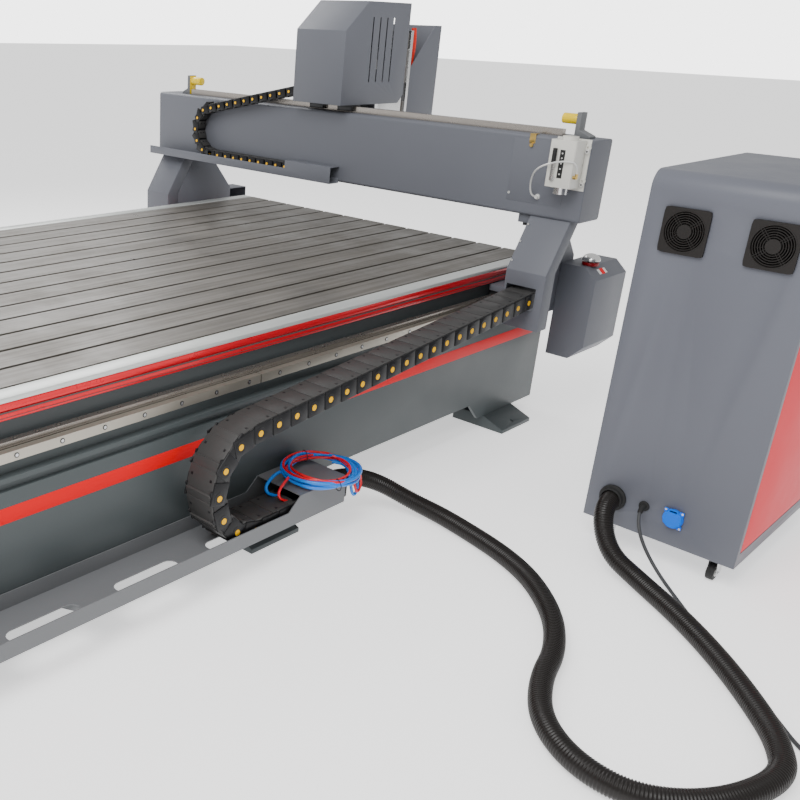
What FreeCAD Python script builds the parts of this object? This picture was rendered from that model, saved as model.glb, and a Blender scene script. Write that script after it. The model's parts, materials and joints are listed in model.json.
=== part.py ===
import FreeCAD, Part
import Sketcher
import math
import os
import re

os.makedirs("parts", exist_ok=True)
doc = FreeCAD.newDocument("gantry_router")

# ---------------------------------------------------------------- driving dimensions, mm
# Machine coordinates: X across the table from its centre line, Y along the bed from its
# middle (the gantry is parked at the +Y end), Z up from the floor.
SIZES = {
    # bed and table
    "bed_length": 3200, "rail_x": 814, "panel_x": 850, "panel_wall": 12, "panel_foot": 47,
    "panel_raise": 68, "leg_block": 390, "ledge_top": 494, "panel_top": 405, "groove": 20,
    "table_top": 608, "slot_pitch": 115.2, "slot_gap": 12, "strip_high": 35, "strip_lip": 17,
    "undercut": 5, "ledge_wall": 18, "return_high": 13, "tube_wall": 5, "foot_hole": 7,
    "plate_wall": 13, "edge_wide": 55, "edge_wall": 12, "profile_high": 42, "profile_wide": 16,
    "cross_wide": 90, "cross_high": 80, "foot_wide": 202, "foot_step": 245,
    "foot_reach": 88, "rail_wide": 20, "rail_high": 18, "rack_wide": 20, "rack_high": 25,
    "rack_drop": 22, "web_gap": 2,
    # cable tray beside the bed
    "tray_wide": 170, "tray_floor": 101, "tray_lip": 45.5, "sheet": 3, "tray_end": 200,
    "slot_long": 200, "slot_wide": 50, "slot_step": 311, "box_high": 83, "box_long": 200,
    # long cable chain
    "chain_x": 906, "chain_wide": 104, "chain_high": 56, "chain_low_z": 132, "bend_r": 143,
    "bend_y": -168, "chain_top_z": 547, "mouth_y": 1196,
    # gantry
    "beam_half": 1075, "beam_y": 1282, "beam_deep": 143, "beam_bottom": 806, "beam_high": 269,
    "beam_wall": 8, "leg_in": 893, "leg_wall": 42, "cover_wide": 150, "cover_deep": 65,
    "leg_front": 1180, "leg_rear": 1591, "leg_bottom": 438, "leg_fold": 636, "leg_lean": 108,
    "leg_top_rear": 1446, "saddle_wall": 24, "saddle_z": 526, "block_wide": 44, "block_long": 90,
    "fit_gap": 0.3, "house_out": 1077, "house_front": 1495, "house_long": 250,
    "house_low": 272, "house_top": 619, "pinion_rad": 12, "motor_y": 1545, "motor_half": 38,
    "gearbox_rad": 35, "rail_left": 905, "rail_right": 940, "xrail_wide": 23, "xrack_z": 120,
    "pump_x": 952, "pump_z": 913, "pump_deep": 72,
    # head
    "head_x": -62, "head_half": 124, "hood_front": 1222, "hood_back": 1624, "hood_low": 1104,
    "hood_step": 1373, "hood_top": 1480, "hood_lean": 131, "z_face": 1628, "z_plate_wall": 16,
    "case_front": 1866, "case_low": 975, "case_top": 1402, "spindle_y": 1770,
    "spindle_rad": 50, "spindle_low": 830, "spindle_high": 300, "screw_rad": 8,
    "xpinion_rad": 12, "carriage_wall": 25, "nose_wall": 12, "collet_bore": 6,
    # short cable chain on the beam
    "xchain_y": 1228, "xchain_wide": 50, "xchain_high": 36, "xchain_low": 841, "xbend_r": 98,
    "xbend_x": -671, "xchain_top": 1148, "xtray_low": 803, "xtray_end": 34, "xbox_long": 246,
    "xbox_high": 65,
    # cabinet
    "cab_x": 1509, "cab_wide": 434, "cab_y": 738, "cab_deep": 700, "cab_low": 75,
    "cab_top": 1081, "cab_wall": 3, "fan_rad": 56, "fan_side": 118, "fan_z": 937,
    "fan_step": 107, "wheel_rad": 25, "wheel_wide": 21, "caster_in": 62, "hose_rad": 27,
    "gland_x": 1586, "gland_z": 157, "door_edge": 22, "door_low": 40, "door_high": 45,
    "door_gap": 2, "hinge_rad": 4, "cable_rad": 5,
    # cords at the end box
    "hose_x": 936, "hose_z": 136, "coil_rad": 104, "coil_thick": 24,
    "coil_y": 130, "loop_rad": 38, "loop_thick": 9,
}
SIZES["case_back"] = "z_face + 28 + z_plate_wall"
SIZES["origin_x"] = "(cab_x + cab_wide + 2 * hinge_rad - 0.5 - house_out) / 2"
SIZES["origin_y"] = "(case_front - bed_length / 2 - sheet) / 2"

sheet = doc.addObject("Spreadsheet::Sheet", "Sizes")
WORD = re.compile(r"\b(" + "|".join(SIZES) + r")\b")


def bound(text):
    """A plain expression with the sheet's name put before each alias."""
    return WORD.sub(r"Sizes.\1", str(text))


for row, (alias, value) in enumerate(SIZES.items(), start=1):
    sheet.set("A%d" % row, alias)
    formula = "=" + value if isinstance(value, str) else str(value)
    sheet.set("B%d" % row, formula)
    sheet.setAlias("B%d" % row, alias)
doc.recompute()


def number(text):
    """What an expression comes to with the sheet's values."""
    return float(sheet.evalExpression(str(text)) if str(text).strip() else 0)


# ---------------------------------------------------------------- helpers
def place(thing, corner):
    """Binds an object's Placement to machine coordinates, taken from the row's origin."""
    x, y, z = (bound(part) for part in corner)
    thing.setExpression("Placement.Base.x", "(%s) - Sizes.origin_x" % x)
    thing.setExpression("Placement.Base.y", "(%s) - Sizes.origin_y" % y)
    thing.setExpression("Placement.Base.z", z)
    return thing


def box(corner, size):
    thing = doc.addObject("Part::Box", "block")
    for side, text in zip(("Length", "Width", "Height"), size):
        thing.setExpression(side, bound(text))
    return place(thing, corner)


TURN = {
    "x": FreeCAD.Rotation(FreeCAD.Vector(0, 1, 0), 90),
    "y": FreeCAD.Rotation(FreeCAD.Vector(1, 0, 0), -90),
    "z": FreeCAD.Rotation(),
}


def rod(axis, radius, length, start):
    """A cylinder that runs from start along +axis."""
    thing = doc.addObject("Part::Cylinder", "rod")
    thing.Placement.Rotation = TURN[axis]
    thing.setExpression("Radius", bound(radius))
    thing.setExpression("Height", bound(length))
    return place(thing, start)


def ring(axis, radius, bore, length, start):
    outer = rod(axis, radius, length, start)
    x, y, z = start
    longer = "(%s) + 2" % length
    back = {"x": ("%s - 1" % x, y, z), "y": (x, "%s - 1" % y, z), "z": (x, y, "%s - 1" % z)}
    return cut(outer, rod(axis, bore, longer, back[axis]))


PLANES = {"xz": "XZ_Plane", "yz": "YZ_Plane", "xy": "XY_Plane"}


def plate(plane, points, start, thick):
    """A sketched outline padded along the plane's normal, from start by thick."""
    body = doc.addObject("PartDesign::Body", "plate")
    sketch = body.newObject("Sketcher::SketchObject", "outline")
    role = PLANES[plane]
    base = [item for item in body.Origin.OriginFeatures if item.Role == role][0]
    sketch.AttachmentSupport = [(base, "")]
    sketch.MapMode = "FlatFace"
    corners = [FreeCAD.Vector(number(a), number(b), 0) for a, b in points]
    count = len(points)
    for i in range(count):
        sketch.addGeometry(Part.LineSegment(corners[i], corners[(i + 1) % count]), False)
    for i in range(count):
        sketch.addConstraint(Sketcher.Constraint("Coincident", i, 2, (i + 1) % count, 1))
    for i, pair in enumerate(points):
        for kind, text, now in zip(("DistanceX", "DistanceY"), pair, corners[i]):
            row = sketch.addConstraint(Sketcher.Constraint(kind, -1, 1, i, 1, now))
            sketch.setExpression("Constraints[%d]" % row, bound(text))
    pad = body.newObject("PartDesign::Pad", "thickness")
    pad.Profile = sketch
    pad.setExpression("Length", bound(thick))
    sketch.Visibility = False
    at = {"xz": ("0", "(%s) + (%s)" % (start, thick), "0"), "yz": (start, "0", "0"),
          "xy": ("0", "0", start)}
    return place(body, at[plane])


def cut(base, *tools):
    for tool in tools:
        made = doc.addObject("Part::Cut", "cut")
        made.Base = base
        made.Tool = tool
        base = made
    return base


def fuse(*parts):
    if len(parts) == 1:
        return parts[0]
    made = doc.addObject("Part::MultiFuse", "weld")
    made.Shapes = list(parts)
    return made


def group(*parts):
    """Identical loose pieces that share one node."""
    made = doc.addObject("Part::Compound", "group")
    made.Links = list(parts)
    return made


def rounded(base, radius, wanted):
    """Fillets the edges of base that wanted picks by their middle point."""
    doc.recompute()
    made = doc.addObject("Part::Fillet", "rounded")
    made.Base = base
    edges = base.Shape.Edges
    size = number(radius)
    made.Edges = [(i + 1, size, size) for i, edge in enumerate(edges) if wanted(edge)]
    return made


def tube(name, radius, points):
    """A cord: straight runs between the points, joined by tangent arcs, with a round section."""
    corner = FreeCAD.Vector(number("origin_x"), number("origin_y"), 0)
    path = [FreeCAD.Vector(*point) - corner for point in points]
    pieces = []
    start = path[0]
    tightest = math.inf
    for before, here, after in zip(path, path[1:], path[2:]):
        back = before - here
        ahead = after - here
        turn = math.pi - back.getAngle(ahead)
        reach = 0.45 * min(back.Length, ahead.Length)
        tightest = min(tightest, reach / math.tan(turn / 2))
        back.normalize()
        ahead.normalize()
        entry = here + back * reach
        leave = here + ahead * reach
        half = (back + ahead).normalize()
        radius_here = reach / math.tan(turn / 2)
        middle = here + half * (radius_here / math.cos(turn / 2) - radius_here)
        pieces.append(Part.makeLine(start, entry))
        pieces.append(Part.Arc(entry, middle, leave).toShape())
        start = leave
    pieces.append(Part.makeLine(start, path[-1]))
    spine = Part.Wire(pieces)
    first = path[1] - path[0]
    section = Part.Wire([Part.makeCircle(radius, path[0], first)])
    solid = spine.makePipeShell([section], True, False)
    print(name, "length %.0f, tightest bend %.0f, volume ratio %.3f"
          % (spine.Length, tightest, solid.Volume / (math.pi * radius ** 2 * spine.Length)))
    made = doc.addObject("Part::Feature", name)
    made.Shape = solid
    return made


NODES = {}


def node(name, thing):
    """Names a finished sub-part. Its label is its file's name."""
    thing.Label = name
    NODES[name] = thing
    return thing


def side(s, near, far):
    """The low corner and the width of a stretch of X from near to far, on side s."""
    low = near if s > 0 else "-(%s)" % far
    return low, "(%s) - (%s)" % (far, near)


def mirrored(points, s):
    """An outline in X and Z as it is on side s."""
    return points if s > 0 else [("-(%s)" % a, b) for a, b in points]


SIDES = (1, -1)
HALF = "bed_length / 2"


def along_x(edge):
    return abs(edge.Vertexes[0].X - edge.Vertexes[-1].X) > 20


def along_z(edge):
    return abs(edge.Vertexes[0].Z - edge.Vertexes[-1].Z) > 20


# ---------------------------------------------------------------- bed
WEB = "rail_x + rail_wide / 2 + web_gap"
WALL = "rail_x - rail_wide / 2 - 16"
INNER = "rail_x - rail_wide / 2 - 106"
PLATE_LOW = "table_top - strip_high - plate_wall"


def side_frames():
    """Each long side is a welded frame: outer panel, return, web, rail ledge and inner wall."""
    raised = "panel_foot + panel_raise"
    inner = "%s - leg_block" % HALF
    outline = [
        ("-" + HALF, "panel_foot"), ("-(%s)" % inner, "panel_foot"),
        ("-(%s) + panel_raise" % inner, raised), ("-leg_block / 2", raised),
        ("-leg_block / 2 + panel_raise", "panel_foot"),
        ("leg_block / 2 - panel_raise", "panel_foot"), ("leg_block / 2", raised),
        ("%s - panel_raise" % inner, raised), (inner, "panel_foot"), (HALF, "panel_foot"),
        (HALF, "panel_top"), ("-" + HALF, "panel_top"),
    ]
    ledge_low = "ledge_top - ledge_wall"
    frames = []
    for s in SIDES:
        low, wide = side(s, "panel_x - panel_wall", "panel_x")
        welds = [plate("yz", outline, low, wide),
                 box((low, "-" + HALF, "panel_top + groove"), (wide, "bed_length", "return_high"))]
        low, wide = side(s, WEB + " - panel_wall", "panel_x - panel_wall")
        welds.append(box((low, "-" + HALF, "panel_top - 40"),
                         (wide, "bed_length", "40 + groove + return_high")))
        low, wide = side(s, WEB + " - panel_wall", WEB)
        welds.append(box((low, "-" + HALF, "panel_top"),
                         (wide, "bed_length", "%s - panel_top" % ledge_low)))
        low, wide = side(s, INNER, WEB)
        welds.append(box((low, "-" + HALF, ledge_low), (wide, "bed_length", "ledge_wall")))
        low, wide = side(s, INNER, INNER + " + panel_wall")
        welds.append(box((low, "-" + HALF, raised),
                         (wide, "bed_length", "%s - (%s)" % (ledge_low, raised))))
        low, wide = side(s, WALL + " - 11", WALL)
        welds.append(box((low, "-" + HALF, "ledge_top"),
                         (wide, "bed_length", "table_top - edge_wall - ledge_top")))
        frames.append(fuse(*welds))
    node("side_frames", group(*frames, *feet()))


def table():
    low = PLATE_LOW + " - cross_high"
    members = []
    for i in range(7):
        y = "-%s + 60 + %d * (bed_length - 120 - cross_wide) / 6" % (HALF, i)
        beam = box(("-(%s)" % INNER, y, low), ("2 * (%s)" % INNER, "cross_wide", "cross_high"))
        bore = box(("-(%s) - 1" % INNER, y + " + tube_wall", low + " + tube_wall"),
                   ("2 * (%s) + 2" % INNER, "cross_wide - 2 * tube_wall", "cross_high - 2 * tube_wall"))
        members.append(cut(beam, bore))
    half = WALL + " - 11.5"
    base = box(("-(%s)" % half, "-" + HALF, PLATE_LOW), ("2 * (%s)" % half, "bed_length", "plate_wall"))
    node("table_base", group(base, *members))
    base = "table_top - strip_high"
    lip = "table_top - strip_lip"
    strips = []
    for i in range(13):
        left = "(%d - 6.5) * slot_pitch + slot_gap / 2" % i
        right = "(%d - 5.5) * slot_pitch - slot_gap / 2" % i
        points = [(left + " + undercut", base), (right + " - undercut", base),
                  (right + " - undercut", lip), (right, lip), (right, "table_top"),
                  (left, "table_top"), (left, lip), (left + " + undercut", lip)]
        strips.append(plate("xz", points, "-" + HALF, "bed_length"))
    node("table_strips", group(*strips))
    edges = []
    profiles = []
    near = "6.5 * slot_pitch + 1"
    far = near + " + edge_wide"
    z = "table_top - edge_wall - profile_high"
    for s in SIDES:
        low, wide = side(s, near, far)
        edges.append(box((low, "-" + HALF, "table_top - edge_wall"), (wide, "bed_length", "edge_wall")))
        low, wide = side(s, far + " - profile_wide", far)
        bar = box((low, "-" + HALF, z), (wide, "bed_length", "profile_high"))
        low, wide = side(s, far + " - 4", far + " + 1")
        notch = box((low, "-%s - 1" % HALF, z + " + profile_high / 2 - 2"), (wide, "bed_length + 2", "4"))
        profiles.append(cut(bar, notch))
    node("table_edge_strips", group(*edges))
    node("edge_profiles", group(*profiles))
    covers = [box(("-panel_x", y, "panel_foot"), ("2 * panel_x", "sheet", "panel_top - panel_foot + 60"))
              for y in (HALF, "-%s - sheet" % HALF)]
    node("end_covers", group(*covers))


def rails_and_racks():
    rails = []
    racks = []
    for s in SIDES:
        low, wide = side(s, "rail_x - rail_wide / 2", "rail_x + rail_wide / 2")
        rail = box((low, "-%s + 5" % HALF, "ledge_top"), (wide, "bed_length - 10", "rail_high"))
        waists = []
        for start in ("rail_x + rail_wide / 2 - 2.5", "rail_x - rail_wide / 2 - 1"):
            low, wide = side(s, start, start + " + 3.5")
            waists.append(box((low, "-" + HALF, "ledge_top + 7"), (wide, "bed_length", "5")))
        rails.append(cut(rail, *waists))
        low, wide = side(s, WEB, WEB + " + rack_wide")
        for y in ("-%s + 5" % HALF, "2"):
            racks.append(box((low, y, "ledge_top - rack_drop"), (wide, HALF + " - 7", "rack_high")))
    node("y_rails", group(*rails))
    node("y_racks", group(*racks))


def feet():
    tip = "panel_x + foot_reach"
    points = [("panel_x - 130", "0"), (tip, "0"), (tip, "14"), ("panel_x + 1", "panel_foot"),
              ("panel_x - 130", "panel_foot")]
    blocks = []
    for s in SIDES:
        for y in (HALF + " - foot_step", "0", "foot_step - " + HALF):
            block = plate("xz", mirrored(points, s), "%s - foot_wide / 2" % y, "foot_wide")
            centre = "%s(%s - 22)" % ("" if s > 0 else "-", tip)
            blocks.append(cut(block, rod("z", "foot_hole", "60", (centre, y, "-5"))))
    return blocks


# ---------------------------------------------------------------- cable tray and end box
TRAY_NEAR = "panel_x + 0.8"
TRAY_FAR = "panel_x + 0.8 + tray_wide"


def obround(centre_x, centre_y, z, deep):
    straight = "(slot_long - slot_wide)"
    shape = [box(("%s - slot_wide / 2" % centre_x, "%s - %s / 2" % (centre_y, straight), z),
                 ("slot_wide", straight, deep))]
    for sign in "+-":
        at = (centre_x, "%s %s %s / 2" % (centre_y, sign, straight), z)
        shape.append(rod("z", "slot_wide / 2", deep, at))
    return fuse(*shape)


def tray():
    top = "tray_floor + tray_lip"
    points = [(TRAY_NEAR, "tray_floor"), (TRAY_FAR, "tray_floor"), (TRAY_FAR, top),
              (TRAY_FAR + " - sheet", top), (TRAY_FAR + " - sheet", "tray_floor + sheet"),
              (TRAY_NEAR + " + sheet", "tray_floor + sheet"), (TRAY_NEAR + " + sheet", top),
              (TRAY_NEAR, top)]
    channel = plate("xz", points, "-" + HALF, HALF + " + tray_end")
    slots = [obround("chain_x + chain_wide / 2", "%d * slot_step - 197" % i, "tray_floor - 5", "20")
             for i in range(-4, 1)]
    gusset = [(TRAY_NEAR, "tray_floor - 0.2"), ("panel_x + 150", "tray_floor - 0.2"),
              (TRAY_NEAR, "tray_floor - 50")]
    brackets = [plate("xz", gusset, "%d * 380 + 120 - %s" % (i, HALF), "30") for i in range(5)]
    roof = "tray_floor + sheet + box_high"
    front = "tray_end - box_long"
    slope = [(front + " - 46", top), ("tray_end", top), ("tray_end", roof), (front, roof)]
    inside = "tray_wide - 2 * sheet"
    end = box((TRAY_NEAR + " + sheet", "tray_end - sheet", "tray_floor + sheet"),
              (inside, "sheet", "box_high - sheet"))
    end = cut(end, rod("y", "hose_rad + 1", "20", ("hose_x", "tray_end - 10", "hose_z")))
    lid = box((TRAY_NEAR + " + sheet", front, roof + " - sheet"), (inside, "box_long", "sheet"))
    cheeks = [plate("yz", slope, x, "sheet") for x in (TRAY_NEAR, TRAY_FAR + " - sheet")]
    node("chain_tray", group(cut(channel, *slots), fuse(end, lid, *cheeks), *brackets))


# ---------------------------------------------------------------- cable chains
def long_chain():
    """The long chain is three stretches: the top run, the bend and the run in the tray."""
    z_bend = "chain_low_z + 2 * bend_r"
    start = "bend_y + 8"
    end = "mouth_y + 30"
    rise = [(start, z_bend + " - chain_high / 2"), (end, "chain_top_z - chain_high / 2"),
            (end, "chain_top_z + chain_high / 2"), (start, z_bend + " + chain_high / 2")]
    node("long_chain_top_run", plate("yz", rise, "chain_x", "chain_wide"))
    hoop = ring("x", "bend_r + chain_high / 2", "bend_r - chain_high / 2", "chain_wide",
                ("chain_x", "bend_y", "chain_low_z + bend_r"))
    reach = "(bend_r + chain_high)"
    half = box(("chain_x - 5", "bend_y", "chain_low_z - chain_high"),
               ("chain_wide + 10", reach, "2 * %s + 10" % reach))
    node("long_chain_bend", cut(hoop, half))
    node("long_chain_tray_run", box(("chain_x", start, "chain_low_z - chain_high / 2"),
                                    ("chain_wide", "tray_end - box_long - bend_y + 90", "chain_high")))


def short_chain():
    z_bend = "xchain_low + 2 * xbend_r"
    start = "xbend_x + 5"
    end = "head_x - head_half + 20"
    rise = [(start, z_bend + " - xchain_high / 2"), (end, "xchain_top - xchain_high / 2"),
            (end, "xchain_top + xchain_high / 2"), (start, z_bend + " + xchain_high / 2")]
    node("short_chain_top_run", plate("xz", rise, "xchain_y", "xchain_wide"))
    hoop = ring("y", "xbend_r + xchain_high / 2", "xbend_r - xchain_high / 2", "xchain_wide",
                ("xbend_x", "xchain_y", "xchain_low + xbend_r"))
    reach = "(xbend_r + xchain_high)"
    half = box(("xbend_x", "xchain_y - 5", "xchain_low - xchain_high"),
               (reach, "xchain_wide + 10", "2 * %s + 10" % reach))
    node("short_chain_bend", cut(hoop, half))
    node("short_chain_tray_run", box((start, "xchain_y", "xchain_low - xchain_high / 2"),
                                     ("xtray_end - 190 - xbend_x", "xchain_wide", "xchain_high")))


# ---------------------------------------------------------------- gantry
LEG_FRONT = "leg_front + cover_deep"
BEAM_TOP = "beam_bottom + beam_high"
PINION_Z = "ledge_top - rack_drop - pinion_rad - fit_gap"


def legs():
    outline = [(LEG_FRONT, "leg_bottom"), ("leg_rear", "leg_bottom"), ("leg_rear", "leg_fold"),
               ("leg_top_rear", "beam_bottom"), (LEG_FRONT + " + leg_lean", "beam_bottom"),
               (LEG_FRONT, "leg_fold")]
    shape = [("leg_front", "leg_bottom"), (LEG_FRONT, "leg_bottom"), (LEG_FRONT, "leg_fold"),
             (LEG_FRONT + " + leg_lean", "beam_bottom"), ("leg_front + leg_lean", "beam_bottom"),
             ("leg_front", "leg_fold")]
    skin = "leg_front + sheet"
    back = LEG_FRONT + " + 1"
    hollow = [(skin, "leg_bottom - 1"), (back, "leg_bottom - 1"), (back, "leg_fold"),
              (back + " + leg_lean", "beam_bottom + 1"), (skin + " + leg_lean", "beam_bottom + 1"),
              (skin, "leg_fold")]
    posts = []
    covers = []
    blocks = []
    for s in SIDES:
        low, wide = side(s, "leg_in", "leg_in + leg_wall")
        post = plate("yz", outline, low, wide)
        low, wide = side(s, "leg_in - 1", "leg_in + leg_wall + 1")
        post = cut(post, rod("x", "gearbox_rad + 1", wide, (low, "motor_y", PINION_Z)))
        low, wide = side(s, "rail_x - 18", "leg_in")
        saddle = box((low, LEG_FRONT + " + 7", "saddle_z"),
                     (wide, "leg_rear - (%s) - 7" % LEG_FRONT, "saddle_wall"))
        posts.append(fuse(post, saddle))
        low, wide = side(s, "leg_in", "leg_in + cover_wide")
        shell = plate("yz", shape, low, wide)
        low, wide = side(s, "leg_in + sheet", "leg_in + cover_wide - sheet")
        shell = cut(shell, plate("yz", hollow, low, wide))
        if s > 0:
            mouth = box(("chain_x - 4", "leg_front - 5", "chain_top_z - chain_high / 2 - 14"),
                        ("chain_wide + 8", "20", "chain_high + 24"))
            shell = cut(shell, mouth)
        covers.append(shell)
        for y in (LEG_FRONT + " + 17", "leg_rear - block_long - 10"):
            low, wide = side(s, "rail_x - block_wide / 2", "rail_x + block_wide / 2")
            block = box((low, y, "ledge_top + 5"), (wide, "block_long", "saddle_z - ledge_top - 5"))
            low, wide = side(s, "rail_x - rail_wide / 2 - fit_gap", "rail_x + rail_wide / 2 + fit_gap")
            slot = box((low, y + " - 1", "ledge_top"), (wide, "block_long + 2", "rail_high + fit_gap"))
            blocks.append(cut(block, slot))
    node("gantry_legs", group(*posts))
    node("leg_covers", group(*covers))
    node("y_bearing_blocks", group(*blocks))


def drives():
    start = "leg_in + leg_wall"
    outline = [(start, "house_low"), ("house_out - 53", "house_low"), ("house_out", "house_low + 54"),
               ("house_out", "house_top - 41"), ("house_out - 46", "house_top"), (start, "house_top")]
    hollow = [(start + " - 1", "house_low + sheet"), ("house_out - 54", "house_low + sheet"),
              ("house_out - sheet", "house_low + 55"), ("house_out - sheet", "house_top - 42"),
              ("house_out - 47", "house_top - sheet"), (start + " - 1", "house_top - sheet")]
    housings = []
    motors = []
    pinions = []
    for s in SIDES:
        housings.append(cut(plate("xz", mirrored(outline, s), "house_front", "house_long"),
                            plate("xz", mirrored(hollow, s), "house_front + sheet",
                                  "house_long - 2 * sheet")))
        low, wide = side(s, "rail_x + 60", start + " + 20")
        gearbox = rod("x", "gearbox_rad", wide, (low, "motor_y", PINION_Z))
        low, wide = side(s, start + " + 20", "house_out - sheet - 12")
        can = box((low, "motor_y - motor_half", PINION_Z + " - motor_half"),
                  (wide, "2 * motor_half", "2 * motor_half"))
        motors.append(fuse(gearbox, can))
        low, wide = side(s, WEB + " + 0.5", WEB + " + rack_wide - 1")
        wheel = rod("x", "pinion_rad", wide, (low, "motor_y", PINION_Z))
        low, wide = side(s, WEB + " + rack_wide - 1", "rail_x + 59.7")
        pinions.append(fuse(wheel, rod("x", "6", wide, (low, "motor_y", PINION_Z))))
    node("motor_housings", group(*housings))
    node("y_motors", group(*motors))
    node("y_pinions", group(*pinions))


def beam():
    outer = box(("-beam_half", "beam_y", "beam_bottom"), ("2 * beam_half", "beam_deep", "beam_high"))
    outer = rounded(outer, "12", along_x)
    inside = ("beam_deep - 2 * beam_wall", "beam_high - 2 * beam_wall")
    bore = box(("-beam_half + beam_wall", "beam_y + beam_wall", "beam_bottom + beam_wall"),
               ("2 * beam_half - 2 * beam_wall",) + inside)
    node("gantry_beam", cut(outer, bore))
    long_rail = "rail_left + rail_right"
    node("x_rails", group(
        box(("-rail_left", "beam_y + 46", BEAM_TOP), (long_rail, "xrail_wide", "22")),
        box(("-rail_left", "beam_y + beam_deep", "beam_bottom + 46"), (long_rail, "18", "xrail_wide")),
        box(("-rail_left", "beam_y + beam_deep", "beam_bottom + xrack_z"), (long_rail, "18", "20"))))
    y = "beam_y + 63"
    supports = []
    for s, near, far, tip in ((1, "983", "1041", "928"), (-1, "915", "964", "854")):
        outline = [(near, BEAM_TOP), (far, BEAM_TOP), (far, BEAM_TOP + " + 8"),
                   (near + " + 16", BEAM_TOP + " + 24"), (near + " + 16", BEAM_TOP + " + 80"),
                   (near, BEAM_TOP + " + 80")]
        low, wide = side(s, tip, near)
        supports.append(plate("xz", mirrored(outline, s), y + " - 20", "40"))
        supports.append(rod("x", "17", wide, (low, y, BEAM_TOP + " + 57")))
    node("travel_bumpers", group(*supports))
    near = "xchain_y - 4"
    wide = "beam_half + xtray_end"
    deep = "beam_y - xchain_y + 3.5"
    roof = "xtray_low + xbox_high"
    node("beam_chain_tray", fuse(
        box(("-beam_half", near, "xtray_low"), (wide, deep, "sheet")),
        box(("-beam_half", near, "xtray_low"), (wide, "sheet", "34")),
        box(("-beam_half", "beam_y - 0.5 - sheet", "xtray_low"), (wide, "sheet", "20")),
        box(("xtray_end - xbox_long", near, roof + " - sheet"), ("xbox_long", deep, "sheet")),
        box(("xtray_end - xbox_long", near, "xtray_low + 30"), ("xbox_long", "sheet", "xbox_high - 30"))))


def stop_button():
    x = "leg_in + leg_wall + 85"
    y = "house_front + 58"
    node("stop_button_base", ring("z", "30", "14", "12", (x, y, "house_top")))
    dome = rod("z", "22", "16", (x, y, "house_top + 18"))
    dome = rounded(dome, "8", lambda edge: edge.Closed and edge.Vertexes[0].Z > number("house_top + 30"))
    node("stop_button", fuse(rod("z", "13.7", "14", (x, y, "house_top + 4.5")), dome))


def oil_pump():
    x = "pump_x"
    z = "pump_z"
    face = "beam_y - 4"
    back = box((x, face, z), ("120", "3.5", "165"))
    tank = box((x + " + 14", face + " - pump_deep", z + " + 12"), ("92", "pump_deep", "150"))
    tank = rounded(tank, "8", along_z)
    ears = [ring("y", "10", "4", "6", (x + " + 113", face + " - 6", z + high))
            for high in (" + 34", " + 140")]
    foot = rod("z", "24", "24", (x + " + 60", face + " - 38", z + " - 11.5"))
    filler = rod("z", "26", "12", (x + " + 66", face + " - 40", z + " + 162"))
    node("oil_pump_body", fuse(back, tank, foot, filler, *ears))
    arm_z = z + " + 40"
    node("oil_pump_lever", fuse(
        rod("y", "9", "5", (x + " + 40", face + " - pump_deep - 5.3", arm_z)),
        box((x + " + 35", face + " - pump_deep - 11", arm_z + " - 6"), ("10", "5.7", "60")),
        rod("z", "7", "46", (x + " + 40", face + " - pump_deep - 10", arm_z + " + 50"))))


# ---------------------------------------------------------------- head on the beam
IN_X = "head_x - head_half + 10"
IN_WIDE = "2 * head_half - 20"
BEAM_FACE = "beam_y + beam_deep"
SCREW_Y = "z_face - 60"


def carriage():
    blocks = []
    for x in (IN_X + " + 6", "head_x + head_half - 86"):
        y = "beam_y + 46 + xrail_wide / 2"
        block = box((x, y + " - 30", BEAM_TOP + " + 4"), ("70", "60", "24"))
        slot = box((x + " - 1", y + " - xrail_wide / 2 - fit_gap", BEAM_TOP),
                   ("72", "xrail_wide + 2 * fit_gap", "22 + fit_gap"))
        blocks.append(cut(block, slot))
        z = "beam_bottom + 46 + xrail_wide / 2"
        block = box((x, BEAM_FACE + " + 5", z + " - 25"), ("70", "25", "50"))
        slot = box((x + " - 1", BEAM_FACE, z + " - xrail_wide / 2 - fit_gap"),
                   ("72", "18 + fit_gap", "xrail_wide + 2 * fit_gap"))
        blocks.append(cut(block, slot))
    for x in ("head_x - 92", "head_x + 92"):
        for z in ("900", "1110"):
            block = box((x + " - 20", "z_face", z), ("40", "24", "70"))
            slot = box((x + " - 10 - fit_gap", "z_face + 10 - fit_gap", z + " - 1"),
                       ("20 + 2 * fit_gap", "18", "72"))
            blocks.append(cut(block, slot))
    node("head_bearing_blocks", group(*blocks))
    face = BEAM_FACE + " + 30"
    inner = face + " + carriage_wall"
    depth = "z_face - nose_wall - (%s)" % inner
    plates = [box((IN_X, "beam_y + 8", BEAM_TOP + " + 28"), (IN_WIDE, "beam_deep + 47", "18")),
              box((IN_X, "z_face - nose_wall", "880"), (IN_WIDE, "nose_wall", "440"))]
    front = box((IN_X, face, "beam_bottom + 10"), (IN_WIDE, "carriage_wall", "beam_high + 18"))
    window = box(("head_x - 92", face + " - 1", XPINION_Z + " - 16"), ("44", "carriage_wall + 2", "32"))
    for x in (IN_X, "head_x + head_half - 22"):
        plates.append(box((x, inner, "925"), ("12", depth, "389")))
    cap = box((IN_X, inner, "1300"), (IN_WIDE, depth, "14"))
    cap = cut(cap, rod("z", "12", "30", ("head_x", SCREW_Y, "1290")))
    foot = box((IN_X, inner, "960"), (IN_WIDE, depth, "14"))
    foot = cut(foot, rod("z", "screw_rad + 0.1", "30", ("head_x", SCREW_Y, "950")))
    opening = box(("head_x - 40", "z_face - nose_wall - 1", "976"), ("80", "nose_wall + 2", "290"))
    node("x_carriage", cut(fuse(cut(front, window), cap, foot, *plates), opening))


XPINION_Z = "beam_bottom + xrack_z - xpinion_rad - fit_gap"


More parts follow.
